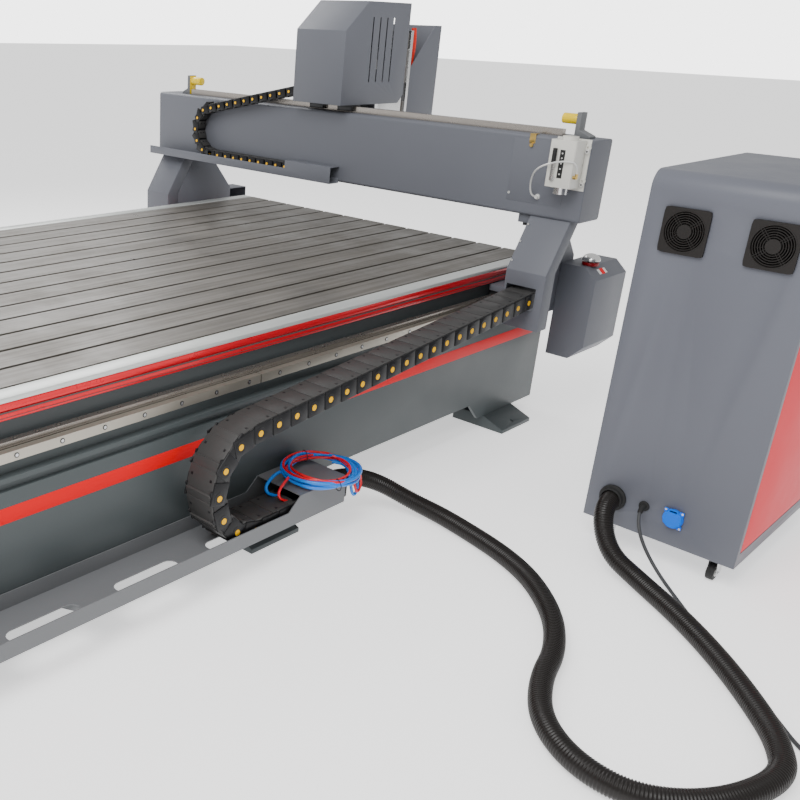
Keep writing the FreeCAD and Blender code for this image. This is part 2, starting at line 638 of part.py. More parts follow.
def head_drives():
    x = "head_x - 70"
    back = BEAM_FACE + " + 30 + carriage_wall"
    node("head_motors", group(
        box((x + " - 30", back, XPINION_Z + " - 24"), ("60", "90", "48")),
        box(("head_x - 40", SCREW_Y + " - 40", "1314"), ("80", "80", "120"))))
    node("x_pinion", fuse(rod("y", "xpinion_rad", "16", (x, BEAM_FACE + " + 1", XPINION_Z)),
                          rod("y", "6", "30 + carriage_wall - 17.3",
                              (x, BEAM_FACE + " + 17", XPINION_Z))))
    node("z_screw", rod("z", "screw_rad", "353", ("head_x", SCREW_Y, "960")))


def z_slide():
    rails = [box((x + " - 10", "z_face + 10", "870"), ("20", "18", "500"))
             for x in ("head_x - 92", "head_x + 92")]
    node("z_rails", group(*rails))
    arm = box(("head_x - 30", SCREW_Y + " - 22", "1190"), ("60", "22 + 60 + 28", "40"))
    arm = cut(arm, rod("z", "screw_rad + 0.1", "60", ("head_x", SCREW_Y, "1180")))
    wall = box((IN_X, "z_face + 28", "860"), (IN_WIDE, "z_plate_wall", "520"))
    clamp = box(("head_x - 75", "case_back", "985"), ("150", "spindle_y - case_back + 60", "80"))
    clamp = cut(clamp, rod("z", "spindle_rad", "100", ("head_x", "spindle_y", "975")))
    node("z_plate", group(fuse(wall, arm), clamp))
    sides = [("case_back", "case_low"), ("case_front", "case_low"), ("case_front", "case_top"),
             ("case_front - 46", "case_top"), ("case_back", "case_top - 163")]
    cheeks = [plate("yz", sides, x, "sheet") for x in (IN_X, "head_x + head_half - 10 - sheet")]
    cover = box((IN_X, "case_front - sheet", "case_low"), (IN_WIDE, "sheet", "case_top - case_low"))
    node("spindle_casing", fuse(cover, *cheeks))
    motor = rod("z", "spindle_rad", "spindle_high - 60", ("head_x", "spindle_y", "spindle_low + 60"))
    neck = ring("z", "32", "14.1", "22", ("head_x", "spindle_y", "spindle_low + 38"))
    node("spindle", fuse(motor, neck))
    shaft = rod("z", "14", "37", ("head_x", "spindle_y", "spindle_low + 21"))
    nut = rod("z", "20", "22", ("head_x", "spindle_y", "spindle_low"))
    node("collet_nut", cut(fuse(shaft, nut),
                           rod("z", "collet_bore", "37", ("head_x", "spindle_y", "spindle_low - 5"))))


def hood():
    low_x = "head_x - head_half"
    wide = "2 * head_half"
    outline = [("hood_front", "hood_low"), ("hood_back - 32", "hood_low"), ("hood_back", "hood_low + 32"),
               ("hood_back", "hood_top"), ("hood_front + hood_lean", "hood_top"),
               ("hood_front", "hood_step")]
    hollow = [("hood_front + sheet", "hood_low - 1"), ("hood_back + 1", "hood_low - 1"),
              ("hood_back + 1", "hood_top - sheet"), ("hood_front + hood_lean + 1", "hood_top - sheet"),
              ("hood_front + sheet", "hood_step - 1")]
    shell = cut(plate("yz", outline, low_x, wide),
                plate("yz", hollow, low_x + " + sheet", wide + " - 2 * sheet"))
    slots = [box((low_x + " - 1", "hood_front + 162 + %d * 44" % i, "hood_low + 84"),
                 (wide + " + 2", "7", "236")) for i in range(4)]
    inlet = box((low_x + " - 1", "xchain_y - 3", "xchain_top - xchain_high / 2 - 8"),
                ("sheet + 2", "xchain_wide + 6", "xchain_high + 16"))
    node("head_hood", cut(shell, inlet, *slots))


# ---------------------------------------------------------------- control cabinet
def cabinet_shell():
    far_x = "cab_x + cab_wide"
    far_y = "cab_y + cab_deep"
    rise = "cab_top - cab_low"
    outer = box(("cab_x", "cab_y", "cab_low"), ("cab_wide", "cab_deep", rise))
    outer = rounded(outer, "45", lambda edge: along_x(edge) and edge.Vertexes[0].Z > number("cab_top - 1"))
    inner = box(("cab_x + cab_wall", "cab_y + cab_wall", "cab_low + cab_wall"),
                ("cab_wide", "cab_deep - 2 * cab_wall", rise + " - 2 * cab_wall"))
    inner = rounded(inner, "42", lambda edge: along_x(edge) and edge.Vertexes[0].Z > number("cab_top - 5"))
    frame = box((far_x + " - cab_wall", "cab_y", "cab_low"), ("cab_wall", "cab_deep", rise))
    frame = rounded(frame, "45", lambda edge: edge.Length < number("cab_wall + 1")
                    and edge.Vertexes[0].Z > number("cab_top - 1"))
    opening = box((far_x + " - 30", "cab_y + door_edge", "cab_low + door_low"),
                  ("40", "cab_deep - 2 * door_edge", rise + " - door_low - door_high"))
    holes = [rod("y", "fan_rad + 1", "20", (x, "cab_y - 10", "fan_z")) for x in FAN_X]
    holes.append(rod("y", "hose_rad + 6", "20", ("gland_x", "cab_y - 10", "gland_z")))
    holes.append(rod("y", "15", "20", ("gland_x + 91", "cab_y - 10", "gland_z + 7")))
    holes.append(rod("y", "21", "20", ("gland_x + 176", "cab_y - 10", "gland_z + 2")))
    pins = [rod("z", "hinge_rad", "60", (far_x + " + hinge_rad - 0.5", HINGE_Y, z))
            for z in ("cab_low + 120", "cab_top - 220")]
    pads = [box((x + " - 29", y + " - 29", "cab_low - 3"), ("58", "58", "4")) for x, y, word in CASTERS]
    node("cabinet_shell", fuse(cut(fuse(cut(outer, inner), frame), opening, *holes), *pins, *pads))
    leaf = box((far_x + " - 4.5", "cab_y + door_edge + door_gap", "cab_low + door_low + door_gap"),
               ("4.5", "cab_deep - 2 * door_edge - 2 * door_gap",
                rise + " - door_low - door_high - 2 * door_gap"))
    node("cabinet_door", leaf)


CASTERS = [("cab_x + caster_in", "cab_y + caster_in", "front_left"),
           ("cab_x + cab_wide - caster_in", "cab_y + caster_in", "front_right"),
           ("cab_x + caster_in", "cab_y + cab_deep - caster_in", "rear_left"),
           ("cab_x + cab_wide - caster_in", "cab_y + cab_deep - caster_in", "rear_right")]
FAN_X = ["cab_x + cab_wide / 2 %s fan_step" % sign for sign in "-+"]
HINGE_Y = "cab_y + cab_deep - door_edge + 2"


def fans():
    guards = []
    for x, name in zip(FAN_X, ("left", "right")):
        square = box((x + " - fan_side / 2", "cab_y - 8", "fan_z - fan_side / 2"),
                     ("fan_side", "8", "fan_side"))
        square = cut(square, rod("y", "fan_rad - 2", "20", (x, "cab_y - 12", "fan_z")))
        bars = [box((x + " - fan_rad", "cab_y - 7", "fan_z - 1.5 + %d" % rise), ("2 * fan_rad", "3", "3"))
                for rise in (-36, -18, 0, 18, 36)]
        case = box((x + " - fan_side / 2", "cab_y + cab_wall", "fan_z - fan_side / 2"),
                   ("fan_side", "34", "fan_side"))
        case = cut(case, rod("y", "fan_rad", "50", (x, "cab_y", "fan_z")))
        arm = box((x + " - fan_rad - 1", "cab_y + cab_wall + 28", "fan_z - 4"), ("2 * fan_rad + 2", "6", "8"))
        guards += [fuse(square, *bars), fuse(case, arm)]
        blades = [rod("y", "19", "20", (x, "cab_y + 9", "fan_z"))]
        for i in range(7):
            blade = doc.addObject("Part::Box", "blade")
            blade.setExpression("Length", bound("fan_rad - 4 - 16"))
            blade.Width = 13
            blade.Height = 2.5
            turn = FreeCAD.Rotation(FreeCAD.Vector(0, 1, 0), 360.0 / 7 * i + 11)
            blade.Placement.Rotation = turn.multiply(FreeCAD.Rotation(FreeCAD.Vector(1, 0, 0), 25))
            root = turn.multVec(FreeCAD.Vector(16, 0, 0))
            blades.append(place(blade, ("%s + %f" % (x, root.x), "cab_y + 13", "fan_z + %f" % root.z)))
        node("fan_rotor_" + name, fuse(*blades))
    node("fan_guards", group(*guards))


def cabinet_fittings():
    x = "gland_x + 176"
    z = "gland_z + 2"
    socket = [ring("y", "28", "19", "7", (x, "cab_y - 7", z)),
              ring("y", "20.7", "19", "30", (x, "cab_y - 2", z)),
              rod("y", "20.7", "4", (x, "cab_y + 24", z))]
    for across, up in ((" + 16", " + 16"), (" - 27", " + 16"), (" + 16", " - 27")):
        socket.append(box((x + across, "cab_y - 7", z + up), ("11", "4", "11")))
    node("power_socket", fuse(*socket))
    node("socket_lid", fuse(rod("y", "25", "4", (x, "cab_y - 11.5", z)),
                            box((x + " - 14", "cab_y - 14", z + " + 18"), ("28", "6.5", "12"))))
    node("cable_glands", group(
        fuse(ring("y", "hose_rad + 12", "hose_rad + 0.1", "8", ("gland_x", "cab_y - 8", "gland_z")),
             ring("y", "hose_rad + 5.8", "hose_rad + 0.1", "30", ("gland_x", "cab_y - 22", "gland_z"))),
        ring("y", "14.8", "cable_rad + 0.1", "12", ("gland_x + 91", "cab_y - 4", "gland_z + 7"))))


def caster(x, y, word):
    half = "wheel_wide / 2"
    under = "cab_low - 3.3"
    width = "wheel_wide + 9"
    trail = y + " - 16"
    fork = [rod("z", "20", "8", (x, y, under + " - 8")),
            box((x + " - %s - 4.5" % half, y + " - 25", under + " - 11"), (width, "34", "3"))]
    for start in (" - %s - 4.5" % half, " + %s + 1.5" % half):
        fork.append(box((x + start, y + " - 25", "wheel_rad - 7"),
                        ("3", "34", under + " - 11 - wheel_rad + 7")))
    fork.append(rod("x", "4", "wheel_wide + 14", (x + " - %s - 7" % half, trail, "wheel_rad")))
    node("caster_fork_" + word, fuse(*fork))
    node("caster_wheel_" + word, ring("x", "wheel_rad", "4.05", "wheel_wide",
                                      (x + " - " + half, trail, "wheel_rad")))


# ---------------------------------------------------------------- cords
HOSE = [(936, 186, 136), (936, 290, 130), (985, 400, 95), (1085, 455, 45), (1224, 468, 28),
        (1505, 391, 28), (1678, 250, 28), (1770, 100, 28), (1804, -41, 28), (1875, -169, 28),
        (1994, -242, 28), (2127, -238, 28), (2240, -130, 28), (2304, 39, 28), (2261, 144, 28),
        (2170, 250, 28), (2058, 360, 28), (1920, 470, 28), (1767, 566, 28), (1655, 592, 62),
        (1586, 662, 157), (1586, 750, 157)]
MAINS = [(1677, 756, 164), (1677, 722, 164), (1684, 692, 150), (1700, 674, 116), (1734, 664, 70),
         (1788, 646, 26), (1856, 600, 6), (1936, 520, 6), (2020, 443, 6), (2100, 376, 6),
         (2204, 280, 6), (2308, 176, 6), (2400, 170, 6), (2458, 260, 6), (2462, 420, 6),
         (2436, 600, 6), (2440, 800, 6), (2430, 1000, 6), (2370, 1150, 6), (2240, 1200, 6),
         (2130, 1130, 6), (2110, 990, 6), (2180, 880, 6), (2300, 860, 6)]


def cords():
    node("conduit_hose", tube("conduit_hose", number("hose_rad"), HOSE))
    node("mains_cable", tube("mains_cable", number("cable_rad"), MAINS))
    x, y, z = MAINS[-1]
    plug = [rod("x", "20", "60", ("%d.3" % x, str(y), "21"))]
    for turn in range(3):
        angle = math.radians(90 + 120 * turn)
        plug.append(rod("x", "2.5", "26", (str(x + 59), "%f" % (y + 11 * math.cos(angle)),
                                           "%f" % (21 + 11 * math.sin(angle)))))
    node("mains_plug", fuse(*plug))
    turns = doc.addObject("Part::Torus", "coil")
    turns.setExpression("Radius1", bound("coil_rad"))
    turns.setExpression("Radius2", bound("coil_thick"))
    place(turns, ("panel_x + coil_rad + coil_thick + 1", "coil_y",
                  "tray_floor + sheet + box_high + coil_thick + 0.3"))
    hanging = doc.addObject("Part::Torus", "loop")
    hanging.setExpression("Radius1", bound("loop_rad"))
    hanging.setExpression("Radius2", bound("loop_thick"))
    hanging.Placement.Rotation = FreeCAD.Rotation(FreeCAD.Vector(0, 1, 0), 90)
    place(hanging, ("panel_x + coil_rad + coil_thick + 37", "coil_y + 120",
                    "tray_floor + sheet + box_high + coil_thick - loop_rad - 8"))
    node("tube_coil", fuse(turns, hanging))


side_frames()
table()
rails_and_racks()
tray()
long_chain()
short_chain()
legs()
drives()
beam()
stop_button()
oil_pump()
carriage()
head_drives()
z_slide()
hood()
cabinet_shell()
fans()
cabinet_fittings()
for swivel_x, swivel_y, word in CASTERS:
    caster(swivel_x, swivel_y, word)
cords()

doc.recompute()
for thing in doc.Objects:
    if "Invalid" in thing.State or "Error" in thing.State:
        print("not recomputed:", thing.Name, thing.Label, thing.State)
for name, thing in NODES.items():
    shape = thing.Shape
    if shape.isNull() or not shape.isValid() or not shape.Solids:
        print("bad shape:", name)
    shape.exportStep("parts/%s.step" % name)
print(len(NODES), "nodes")
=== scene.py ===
# %% [markdown]
# A gantry router stands beside its control cabinet. Everything below adds the looks:
# finishes, cable chain links, ribbed conduit, fans, screws and other small pieces.

# %% Load the frame
import json
import math
import bmesh
import bpy
from mathutils import Matrix, Vector
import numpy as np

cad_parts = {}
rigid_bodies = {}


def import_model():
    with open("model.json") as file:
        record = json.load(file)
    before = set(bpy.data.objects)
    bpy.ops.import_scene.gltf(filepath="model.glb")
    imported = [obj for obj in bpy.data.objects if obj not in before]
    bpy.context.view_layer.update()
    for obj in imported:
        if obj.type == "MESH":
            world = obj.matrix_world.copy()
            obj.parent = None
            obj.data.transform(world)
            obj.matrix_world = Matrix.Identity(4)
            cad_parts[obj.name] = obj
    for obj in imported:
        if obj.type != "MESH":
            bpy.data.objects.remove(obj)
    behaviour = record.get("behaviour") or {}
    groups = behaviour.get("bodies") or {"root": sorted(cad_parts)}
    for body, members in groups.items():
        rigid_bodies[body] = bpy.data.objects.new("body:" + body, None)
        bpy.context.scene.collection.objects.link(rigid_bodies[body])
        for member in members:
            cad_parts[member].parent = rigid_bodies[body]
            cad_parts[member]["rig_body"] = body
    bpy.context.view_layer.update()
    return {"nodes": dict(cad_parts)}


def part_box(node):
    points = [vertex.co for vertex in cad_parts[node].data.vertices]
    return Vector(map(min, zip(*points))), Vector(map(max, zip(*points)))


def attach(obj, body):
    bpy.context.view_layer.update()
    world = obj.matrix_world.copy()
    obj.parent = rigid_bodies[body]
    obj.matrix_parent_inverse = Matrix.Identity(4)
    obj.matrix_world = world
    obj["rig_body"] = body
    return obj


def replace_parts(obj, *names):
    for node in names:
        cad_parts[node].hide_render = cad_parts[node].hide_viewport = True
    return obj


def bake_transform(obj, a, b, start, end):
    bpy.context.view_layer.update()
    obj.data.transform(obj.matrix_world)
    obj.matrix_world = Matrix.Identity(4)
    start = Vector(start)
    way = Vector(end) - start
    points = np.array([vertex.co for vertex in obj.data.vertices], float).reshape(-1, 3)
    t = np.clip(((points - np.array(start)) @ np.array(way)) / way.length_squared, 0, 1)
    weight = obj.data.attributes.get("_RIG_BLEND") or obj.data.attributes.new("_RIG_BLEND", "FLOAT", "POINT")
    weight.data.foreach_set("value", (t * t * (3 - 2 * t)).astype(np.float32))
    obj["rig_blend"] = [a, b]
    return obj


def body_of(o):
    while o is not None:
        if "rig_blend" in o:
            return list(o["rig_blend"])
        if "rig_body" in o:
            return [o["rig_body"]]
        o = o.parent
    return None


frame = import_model()
nodes = frame["nodes"]
print("frame:", len(nodes), "nodes")

# %% [markdown]
# Lengths are easiest to read in millimetres, measured from the middle of the slotted table
# and up from the floor. One small function turns such a point into the frame's metres.

# %% Places in millimetres
strips_low, strips_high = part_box("table_strips")
MIDDLE = Vector(((strips_low[0] + strips_high[0]) / 2, (strips_low[1] + strips_high[1]) / 2, 0))


def at(x, y, z):
    return MIDDLE + Vector((x, y, z)) / 1000


def reach(node):
    """A node's lowest and highest corner in the same millimetres."""
    low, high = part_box(node)
    return [(Vector(corner) - MIDDLE) * 1000 for corner in (low, high)]


print("table middle", MIDDLE[:])

# %% [markdown]
# A camera is a place, a direction and a lens. Yaw, pitch and roll are kept as named angles,
# and the small lens shift frames the machine off centre without tilting it.

# %% Camera
CAMERA_PLACE = at(2557.8, -1863.5, 1400)
YAW, PITCH, ROLL = math.radians(45.034), math.radians(23.65), math.radians(2.079)
look = Vector((-math.sin(YAW) * math.cos(PITCH), math.cos(YAW) * math.cos(PITCH), -math.sin(PITCH)))
level = Vector((math.cos(YAW), math.sin(YAW), 0))
up = level.cross(look)
right_axis = math.cos(ROLL) * level + math.sin(ROLL) * up
up_axis = -math.sin(ROLL) * level + math.cos(ROLL) * up
camera_data = bpy.data.cameras.new("camera")
camera_data.sensor_width = 36
camera_data.lens = 43.31
camera_data.shift_x = 0.225
camera_data.shift_y = 0.05
camera_data.clip_end = 100
camera = bpy.data.objects.new("camera", camera_data)
turn = Matrix((right_axis, up_axis, -look)).transposed().to_4x4()
camera.matrix_world = Matrix.Translation(CAMERA_PLACE) @ turn
bpy.context.scene.collection.objects.link(camera)
bpy.context.scene.camera = camera
print("camera at", camera.location[:])

# %% [markdown]
# Studio light for painted metal is broad and soft. A bright even sky fills the shadows, one
# large lamp from above and in front of the machine shapes it, and a weaker one from the side
# draws highlights along the rounded edges.

# %% Light
WHITE = (1, 1, 1, 1)
SKY_STRENGTH = 0.72
BACKDROP_STRENGTH = 4.0
world = bpy.data.worlds.new("studio")
world.use_nodes = True
sky = world.node_tree
sky.nodes["Background"].inputs["Color"].default_value = WHITE
sky.nodes["Background"].inputs["Strength"].default_value = SKY_STRENGTH
# What the camera sees behind the machine is brighter than the sky that lights it.
seen = sky.nodes.new("ShaderNodeBackground")
seen.inputs["Color"].default_value = WHITE
seen.inputs["Strength"].default_value = BACKDROP_STRENGTH
ray = sky.nodes.new("ShaderNodeLightPath")
either = sky.nodes.new("ShaderNodeMixShader")
sky.links.new(ray.outputs["Is Camera Ray"], either.inputs["Fac"])
sky.links.new(sky.nodes["Background"].outputs["Background"], either.inputs[1])
sky.links.new(seen.outputs["Background"], either.inputs[2])
sky.links.new(either.outputs["Shader"], sky.nodes["World Output"].inputs["Surface"])
bpy.context.scene.world = world


def lamp(name, place, target, size, power):
    """A square soft lamp at a place, aimed at a target."""
    data = bpy.data.lights.new(name, "AREA")
    data.size = size
    data.energy = power
    made = bpy.data.objects.new(name, data)
    aim = (target - place).to_track_quat("-Z", "Y").to_matrix().to_4x4()
    made.matrix_world = Matrix.Translation(place) @ aim
    bpy.context.scene.collection.objects.link(made)


lamp("key_light", at(1500, -2500, 4200), at(300, 300, 500), 3.0, 210)
lamp("edge_light", at(-3000, 1500, 3000), at(0, 600, 600), 2.5, 90)


# %% [markdown]
# Each finish is a small node tree. One helper makes the Principled shader and a fine noise that
# varies colour and roughness a little and lifts a grain; each finish then states its own colour,
# gloss and grain size. Constants sit on the shader's own sockets.

# %% Finishes: the shared helper
def finish(name, colour, rough=0.5, metal=0.0, grain=900.0, bump=0.1, vary=0.08, smudge=0.0, coat=0.0,
           gleam=0.3):
    """A painted, cast or moulded surface: fine grain, faint mottling and worn patches."""
    made = bpy.data.materials.new(name)
    made.use_nodes = True
    tree = made.node_tree
    shader = tree.nodes["Principled BSDF"]
    shader.inputs["Metallic"].default_value = metal
    shader.inputs["Coat Weight"].default_value = coat
    shader.inputs["Specular IOR Level"].default_value = gleam
    place = tree.nodes.new("ShaderNodeTexCoord")
    fine = tree.nodes.new("ShaderNodeTexNoise")
    fine.inputs["Scale"].default_value = grain
    fine.inputs["Detail"].default_value = 3
    broad = tree.nodes.new("ShaderNodeTexNoise")
    broad.inputs["Scale"].default_value = 5.0
    broad.inputs["Detail"].default_value = 8
    broad.inputs["Roughness"].default_value = 0.65
    for noise in (fine, broad):
        tree.links.new(place.outputs["Object"], noise.inputs["Vector"])
    tint = tree.nodes.new("ShaderNodeMixRGB")
    tint.inputs["Color1"].default_value = (*[c * (1 - vary) for c in colour], 1)
    tint.inputs["Color2"].default_value = (*[min(1, c * (1 + vary)) for c in colour], 1)
    tree.links.new(broad.outputs["Fac"], tint.inputs["Fac"])
    tree.links.new(tint.outputs["Color"], shader.inputs["Base Color"])
    gloss = tree.nodes.new("ShaderNodeMapRange")
    gloss.inputs["From Min"].default_value = 0.3
    gloss.inputs["From Max"].default_value = 0.7
    gloss.inputs["To Min"].default_value = max(0.02, rough - 0.05 - smudge)
    gloss.inputs["To Max"].default_value = min(1, rough + 0.05 + smudge)
    tree.links.new(broad.outputs["Fac"], gloss.inputs["Value"])
    tree.links.new(gloss.outputs["Result"], shader.inputs["Roughness"])
    lift = tree.nodes.new("ShaderNodeBump")
    lift.inputs["Strength"].default_value = bump
    lift.inputs["Distance"].default_value = 0.0006
    tree.links.new(fine.outputs["Fac"], lift.inputs["Height"])
    tree.links.new(lift.outputs["Normal"], shader.inputs["Normal"])
    return made


# %% [markdown]
# The table strips are extruded metal that has carried sheets of board for years: warm grey with
# long scratches along the bed, darker smudges and dust. A stretched noise makes the scratches,
# and a broad one the stains.

# %% Finish of the table strips
def table_finish():
    """Worn metal with long scratches, darker where board has rubbed it."""
    made = finish("worn_strip", (0.17, 0.158, 0.143), rough=0.42, metal=0.35, grain=420, bump=0.12,
                  vary=0.25, smudge=0.1)
    tree = made.node_tree
    shader = tree.nodes["Principled BSDF"]
    tint = shader.inputs["Base Color"].links[0].from_node
    place = tree.nodes.new("ShaderNodeTexCoord")
    stretch = tree.nodes.new("ShaderNodeMapping")
    stretch.inputs["Scale"].default_value = (70, 1.6, 1)
    streak = tree.nodes.new("ShaderNodeTexNoise")
    streak.inputs["Scale"].default_value = 1.0
    streak.inputs["Detail"].default_value = 6
    ramp = tree.nodes.new("ShaderNodeValToRGB")
    ramp.color_ramp.elements[0].position = 0.42
    ramp.color_ramp.elements[0].color = (0.62, 0.6, 0.56, 1)
    ramp.color_ramp.elements[1].position = 0.6
    ramp.color_ramp.elements[1].color = (1, 1, 1, 1)
    dark = tree.nodes.new("ShaderNodeMixRGB")
    dark.blend_type = "MULTIPLY"
    dark.inputs["Fac"].default_value = 0.75
    tree.links.new(place.outputs["Object"], stretch.inputs["Vector"])
    tree.links.new(stretch.outputs["Vector"], streak.inputs["Vector"])
    tree.links.new(streak.outputs["Fac"], ramp.inputs["Fac"])
    tree.links.new(tint.outputs["Color"], dark.inputs["Color1"])
    tree.links.new(ramp.outputs["Color"], dark.inputs["Color2"])
    tree.links.new(dark.outputs["Color"], shader.inputs["Base Color"])
    return made


# %% [markdown]
# The other finishes differ only in the helper's values. Paint has the strongest grain and
# bare metal only a little. The anodised profiles, air tubes, bumpers and pump have a clear
# coat, and the floor gives off some light, so that it stays pale under the machine.

# %% All finishes
machine_paint = finish("machine_paint", (0.128, 0.134, 0.155), rough=0.48, grain=650, bump=0.25, vary=0.04)
cabinet_paint = finish("cabinet_paint", (0.122, 0.128, 0.152), rough=0.42, grain=700, bump=0.22, vary=0.03)
bed_paint = finish("bed_paint", (0.070, 0.082, 0.085), rough=0.42, grain=500, bump=0.2, vary=0.08)
tray_paint = finish("tray_paint", (0.15, 0.155, 0.162), rough=0.42, grain=600, bump=0.2, vary=0.05)
stripe_red = finish("stripe_red", (0.78, 0.0, 0.006), rough=0.45, grain=300, bump=0.05,
                    vary=0.02, gleam=0.12)
anodised_red = finish("anodised_red", (0.70, 0.0, 0.012), rough=0.30, metal=0.3, grain=300,
                      bump=0.04, vary=0.04, coat=0.3)
coral_red = finish("coral_red", (0.72, 0.03, 0.045), rough=0.45, grain=400, bump=0.05, vary=0.03, gleam=0.1)
worn_strip = table_finish()
bright_strip = finish("bright_strip", (0.60, 0.62, 0.60), rough=0.35, metal=0.5, grain=300,
                      bump=0.05, vary=0.06)
rail_steel = finish("rail_steel", (0.36, 0.33, 0.30), rough=0.28, metal=0.85, grain=300, bump=0.04,
                    vary=0.12)
rack_steel = finish("rack_steel", (0.46, 0.43, 0.37), rough=0.35, metal=0.8, grain=250, bump=0.08, vary=0.15)
dark_steel = finish("dark_steel", (0.05, 0.05, 0.052), rough=0.4, metal=0.6, grain=400, bump=0.08, vary=0.1)
zinc = finish("zinc", (0.62, 0.62, 0.62), rough=0.28, metal=0.9, grain=300, bump=0.05, vary=0.06)
chain_black = finish("chain_black", (0.006, 0.006, 0.007), rough=0.42, grain=700, bump=0.18, vary=0.2)
chain_lid = finish("chain_lid", (0.045, 0.044, 0.043), rough=0.45, grain=600, bump=0.2, vary=0.2)
dot_yellow = finish("dot_yellow", (0.95, 0.50, 0.0), rough=0.5, grain=400, bump=0.05, vary=0.05, gleam=0.1)
rubber_black = finish("rubber_black", (0.018, 0.018, 0.018), rough=0.6, grain=500, bump=0.15, vary=0.15)
hose_black = finish("hose_black", (0.010, 0.008, 0.007), rough=0.35, grain=400, bump=0.08, vary=0.15)
cable_grey = finish("cable_grey", (0.055, 0.057, 0.060), rough=0.5, grain=400, bump=0.08, vary=0.1)
tube_blue = finish("tube_blue", (0.0, 0.19, 0.70), rough=0.22, grain=200, bump=0.02, vary=0.05, coat=0.4)
tube_red = finish("tube_red", (0.72, 0.01, 0.02), rough=0.22, grain=200, bump=0.02, vary=0.05, coat=0.4)
socket_blue = finish("socket_blue", (0.0, 0.15, 0.80), rough=0.45, grain=300,
                     bump=0.05, vary=0.04, gleam=0.15)
fan_black = finish("fan_black", (0.012, 0.010, 0.009), rough=0.5, grain=500, bump=0.1, vary=0.15)
bumper_yellow = finish("bumper_yellow", (0.85, 0.60, 0.0), rough=0.35, grain=250,
                       bump=0.05, vary=0.06, coat=0.3)
pump_cream = finish("pump_cream", (0.66, 0.65, 0.60), rough=0.3, grain=250, bump=0.03, vary=0.03, coat=0.2)
brass = finish("brass", (0.55, 0.38, 0.12), rough=0.3, metal=0.9, grain=300, bump=0.05, vary=0.08)
# A dark painted shade for the fine grooves in the red edge profiles.
groove_shade_paint = finish("groove_shade_paint", (0.075, 0.07, 0.066), rough=0.55, grain=400, bump=0.2, vary=0.15)
screw_white = finish("screw_white", (0.75, 0.75, 0.73), rough=0.35, metal=0.4, grain=300,
                     bump=0.05, vary=0.04)
floor_pale = finish("floor_pale", (0.93, 0.93, 0.93), rough=0.8, grain=60, bump=0.02, vary=0.01)
FLOOR_GLOW = 0.85
floor_shader = floor_pale.node_tree.nodes["Principled BSDF"]
floor_shader.inputs["Emission Color"].default_value = WHITE
floor_shader.inputs["Emission Strength"].default_value = FLOOR_GLOW
print(len(bpy.data.materials), "materials")

# %% [markdown]
# A handful of helpers keep the rest short: a mesh under construction is a bmesh, and finished()
# turns it into an object with its finish that rides on one of the frame's bodies.

# %% Making pieces
def finished(bm, name, material, body, smooth=35):
    """The mesh as an object that moves with a body. Faces flatter than smooth degrees shade as one."""
    bmesh.ops.recalc_face_normals(bm, faces=bm.faces)
    mesh = bpy.data.meshes.new(name)
    bm.to_mesh(mesh)
    bm.free()
    for slot in material if isinstance(material, list) else [material]:
        mesh.materials.append(slot)
    mesh.shade_smooth()
    mesh.set_sharp_from_angle(angle=math.radians(smooth))
    made = bpy.data.objects.new(name, mesh)
    bpy.context.scene.collection.objects.link(made)
    if body:
        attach(made, body)
    return made


def colour_faces(verts, material):
    """Gives the faces around some vertices one of the piece's finishes."""
    for face in {face for vert in verts for face in vert.link_faces}:
        face.material_index = material


def round_edges(bm, edges, width):
    """Rounds edges by a width in millimetres."""
    bmesh.ops.bevel(bm, geom=edges, offset=width / 1000, segments=2, profile=0.5,
                    affect="EDGES", material=-1, clamp_overlap=True)


def edges_of(verts):
    return list({edge for vert in verts for edge in vert.link_edges})


def add_box(bm, low, high, edge=0.0, material=0):
    """A block between two corners in millimetres, with rounded edges."""
    low, high = at(*low), at(*high)
    size = high - low
    made = bmesh.ops.create_cube(bm, size=1.0)
    bmesh.ops.scale(bm, vec=size, verts=made["verts"])
    bmesh.ops.translate(bm, vec=(low + high) / 2, verts=made["verts"])
    colour_faces(made["verts"], material)
    if edge:
        round_edges(bm, edges_of(made["verts"]), edge)


TURNS = {"x": Matrix.Rotation(math.pi / 2, 4, "Y"), "y": Matrix.Rotation(-math.pi / 2, 4, "X"),
         "z": Matrix.Identity(4)}


def add_rod(bm, start, axis, radius, length, material=0, sides=24, tip=None):
    """A round bar from start along an axis, in millimetres. tip is its far radius."""
    matrix = Matrix.Translation(at(*start)) @ TURNS[axis] @ Matrix.Translation((0, 0, length / 2000))
    far = radius if tip is None else tip
    made = bmesh.ops.create_cone(bm, cap_ends=True, segments=sides, radius1=radius / 1000,
                                 radius2=far / 1000, depth=length / 1000, matrix=matrix)
    colour_faces(made["verts"], material)


def paint(name, *materials):
    """A better finish on a frame node."""
    holder = nodes[name]
    for index, slot in enumerate(holder.material_slots):
        slot.material = materials[min(index, len(materials) - 1)]


MERGE_GAP = 0.00002
FLAT_ANGLE, SHARP_ANGLE = math.radians(2), math.radians(32)


def softened(name, material, width=1.5):
    """A copy of a frame node with its sharp edges rounded, shown in its place."""
    source = nodes[name]
    bm = bmesh.new()
    bm.from_mesh(source.data)
    bmesh.ops.remove_doubles(bm, verts=bm.verts, dist=MERGE_GAP)
    bmesh.ops.dissolve_limit(bm, angle_limit=FLAT_ANGLE, verts=bm.verts, edges=bm.edges)
    sharp = [edge for edge in bm.edges
             if len(edge.link_faces) == 2 and edge.calc_face_angle(0) > SHARP_ANGLE]
    round_edges(bm, sharp, width)
    made = finished(bm, name + "_shown", material, body_of(source)[0], smooth=50)
    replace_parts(made, name)
    return made


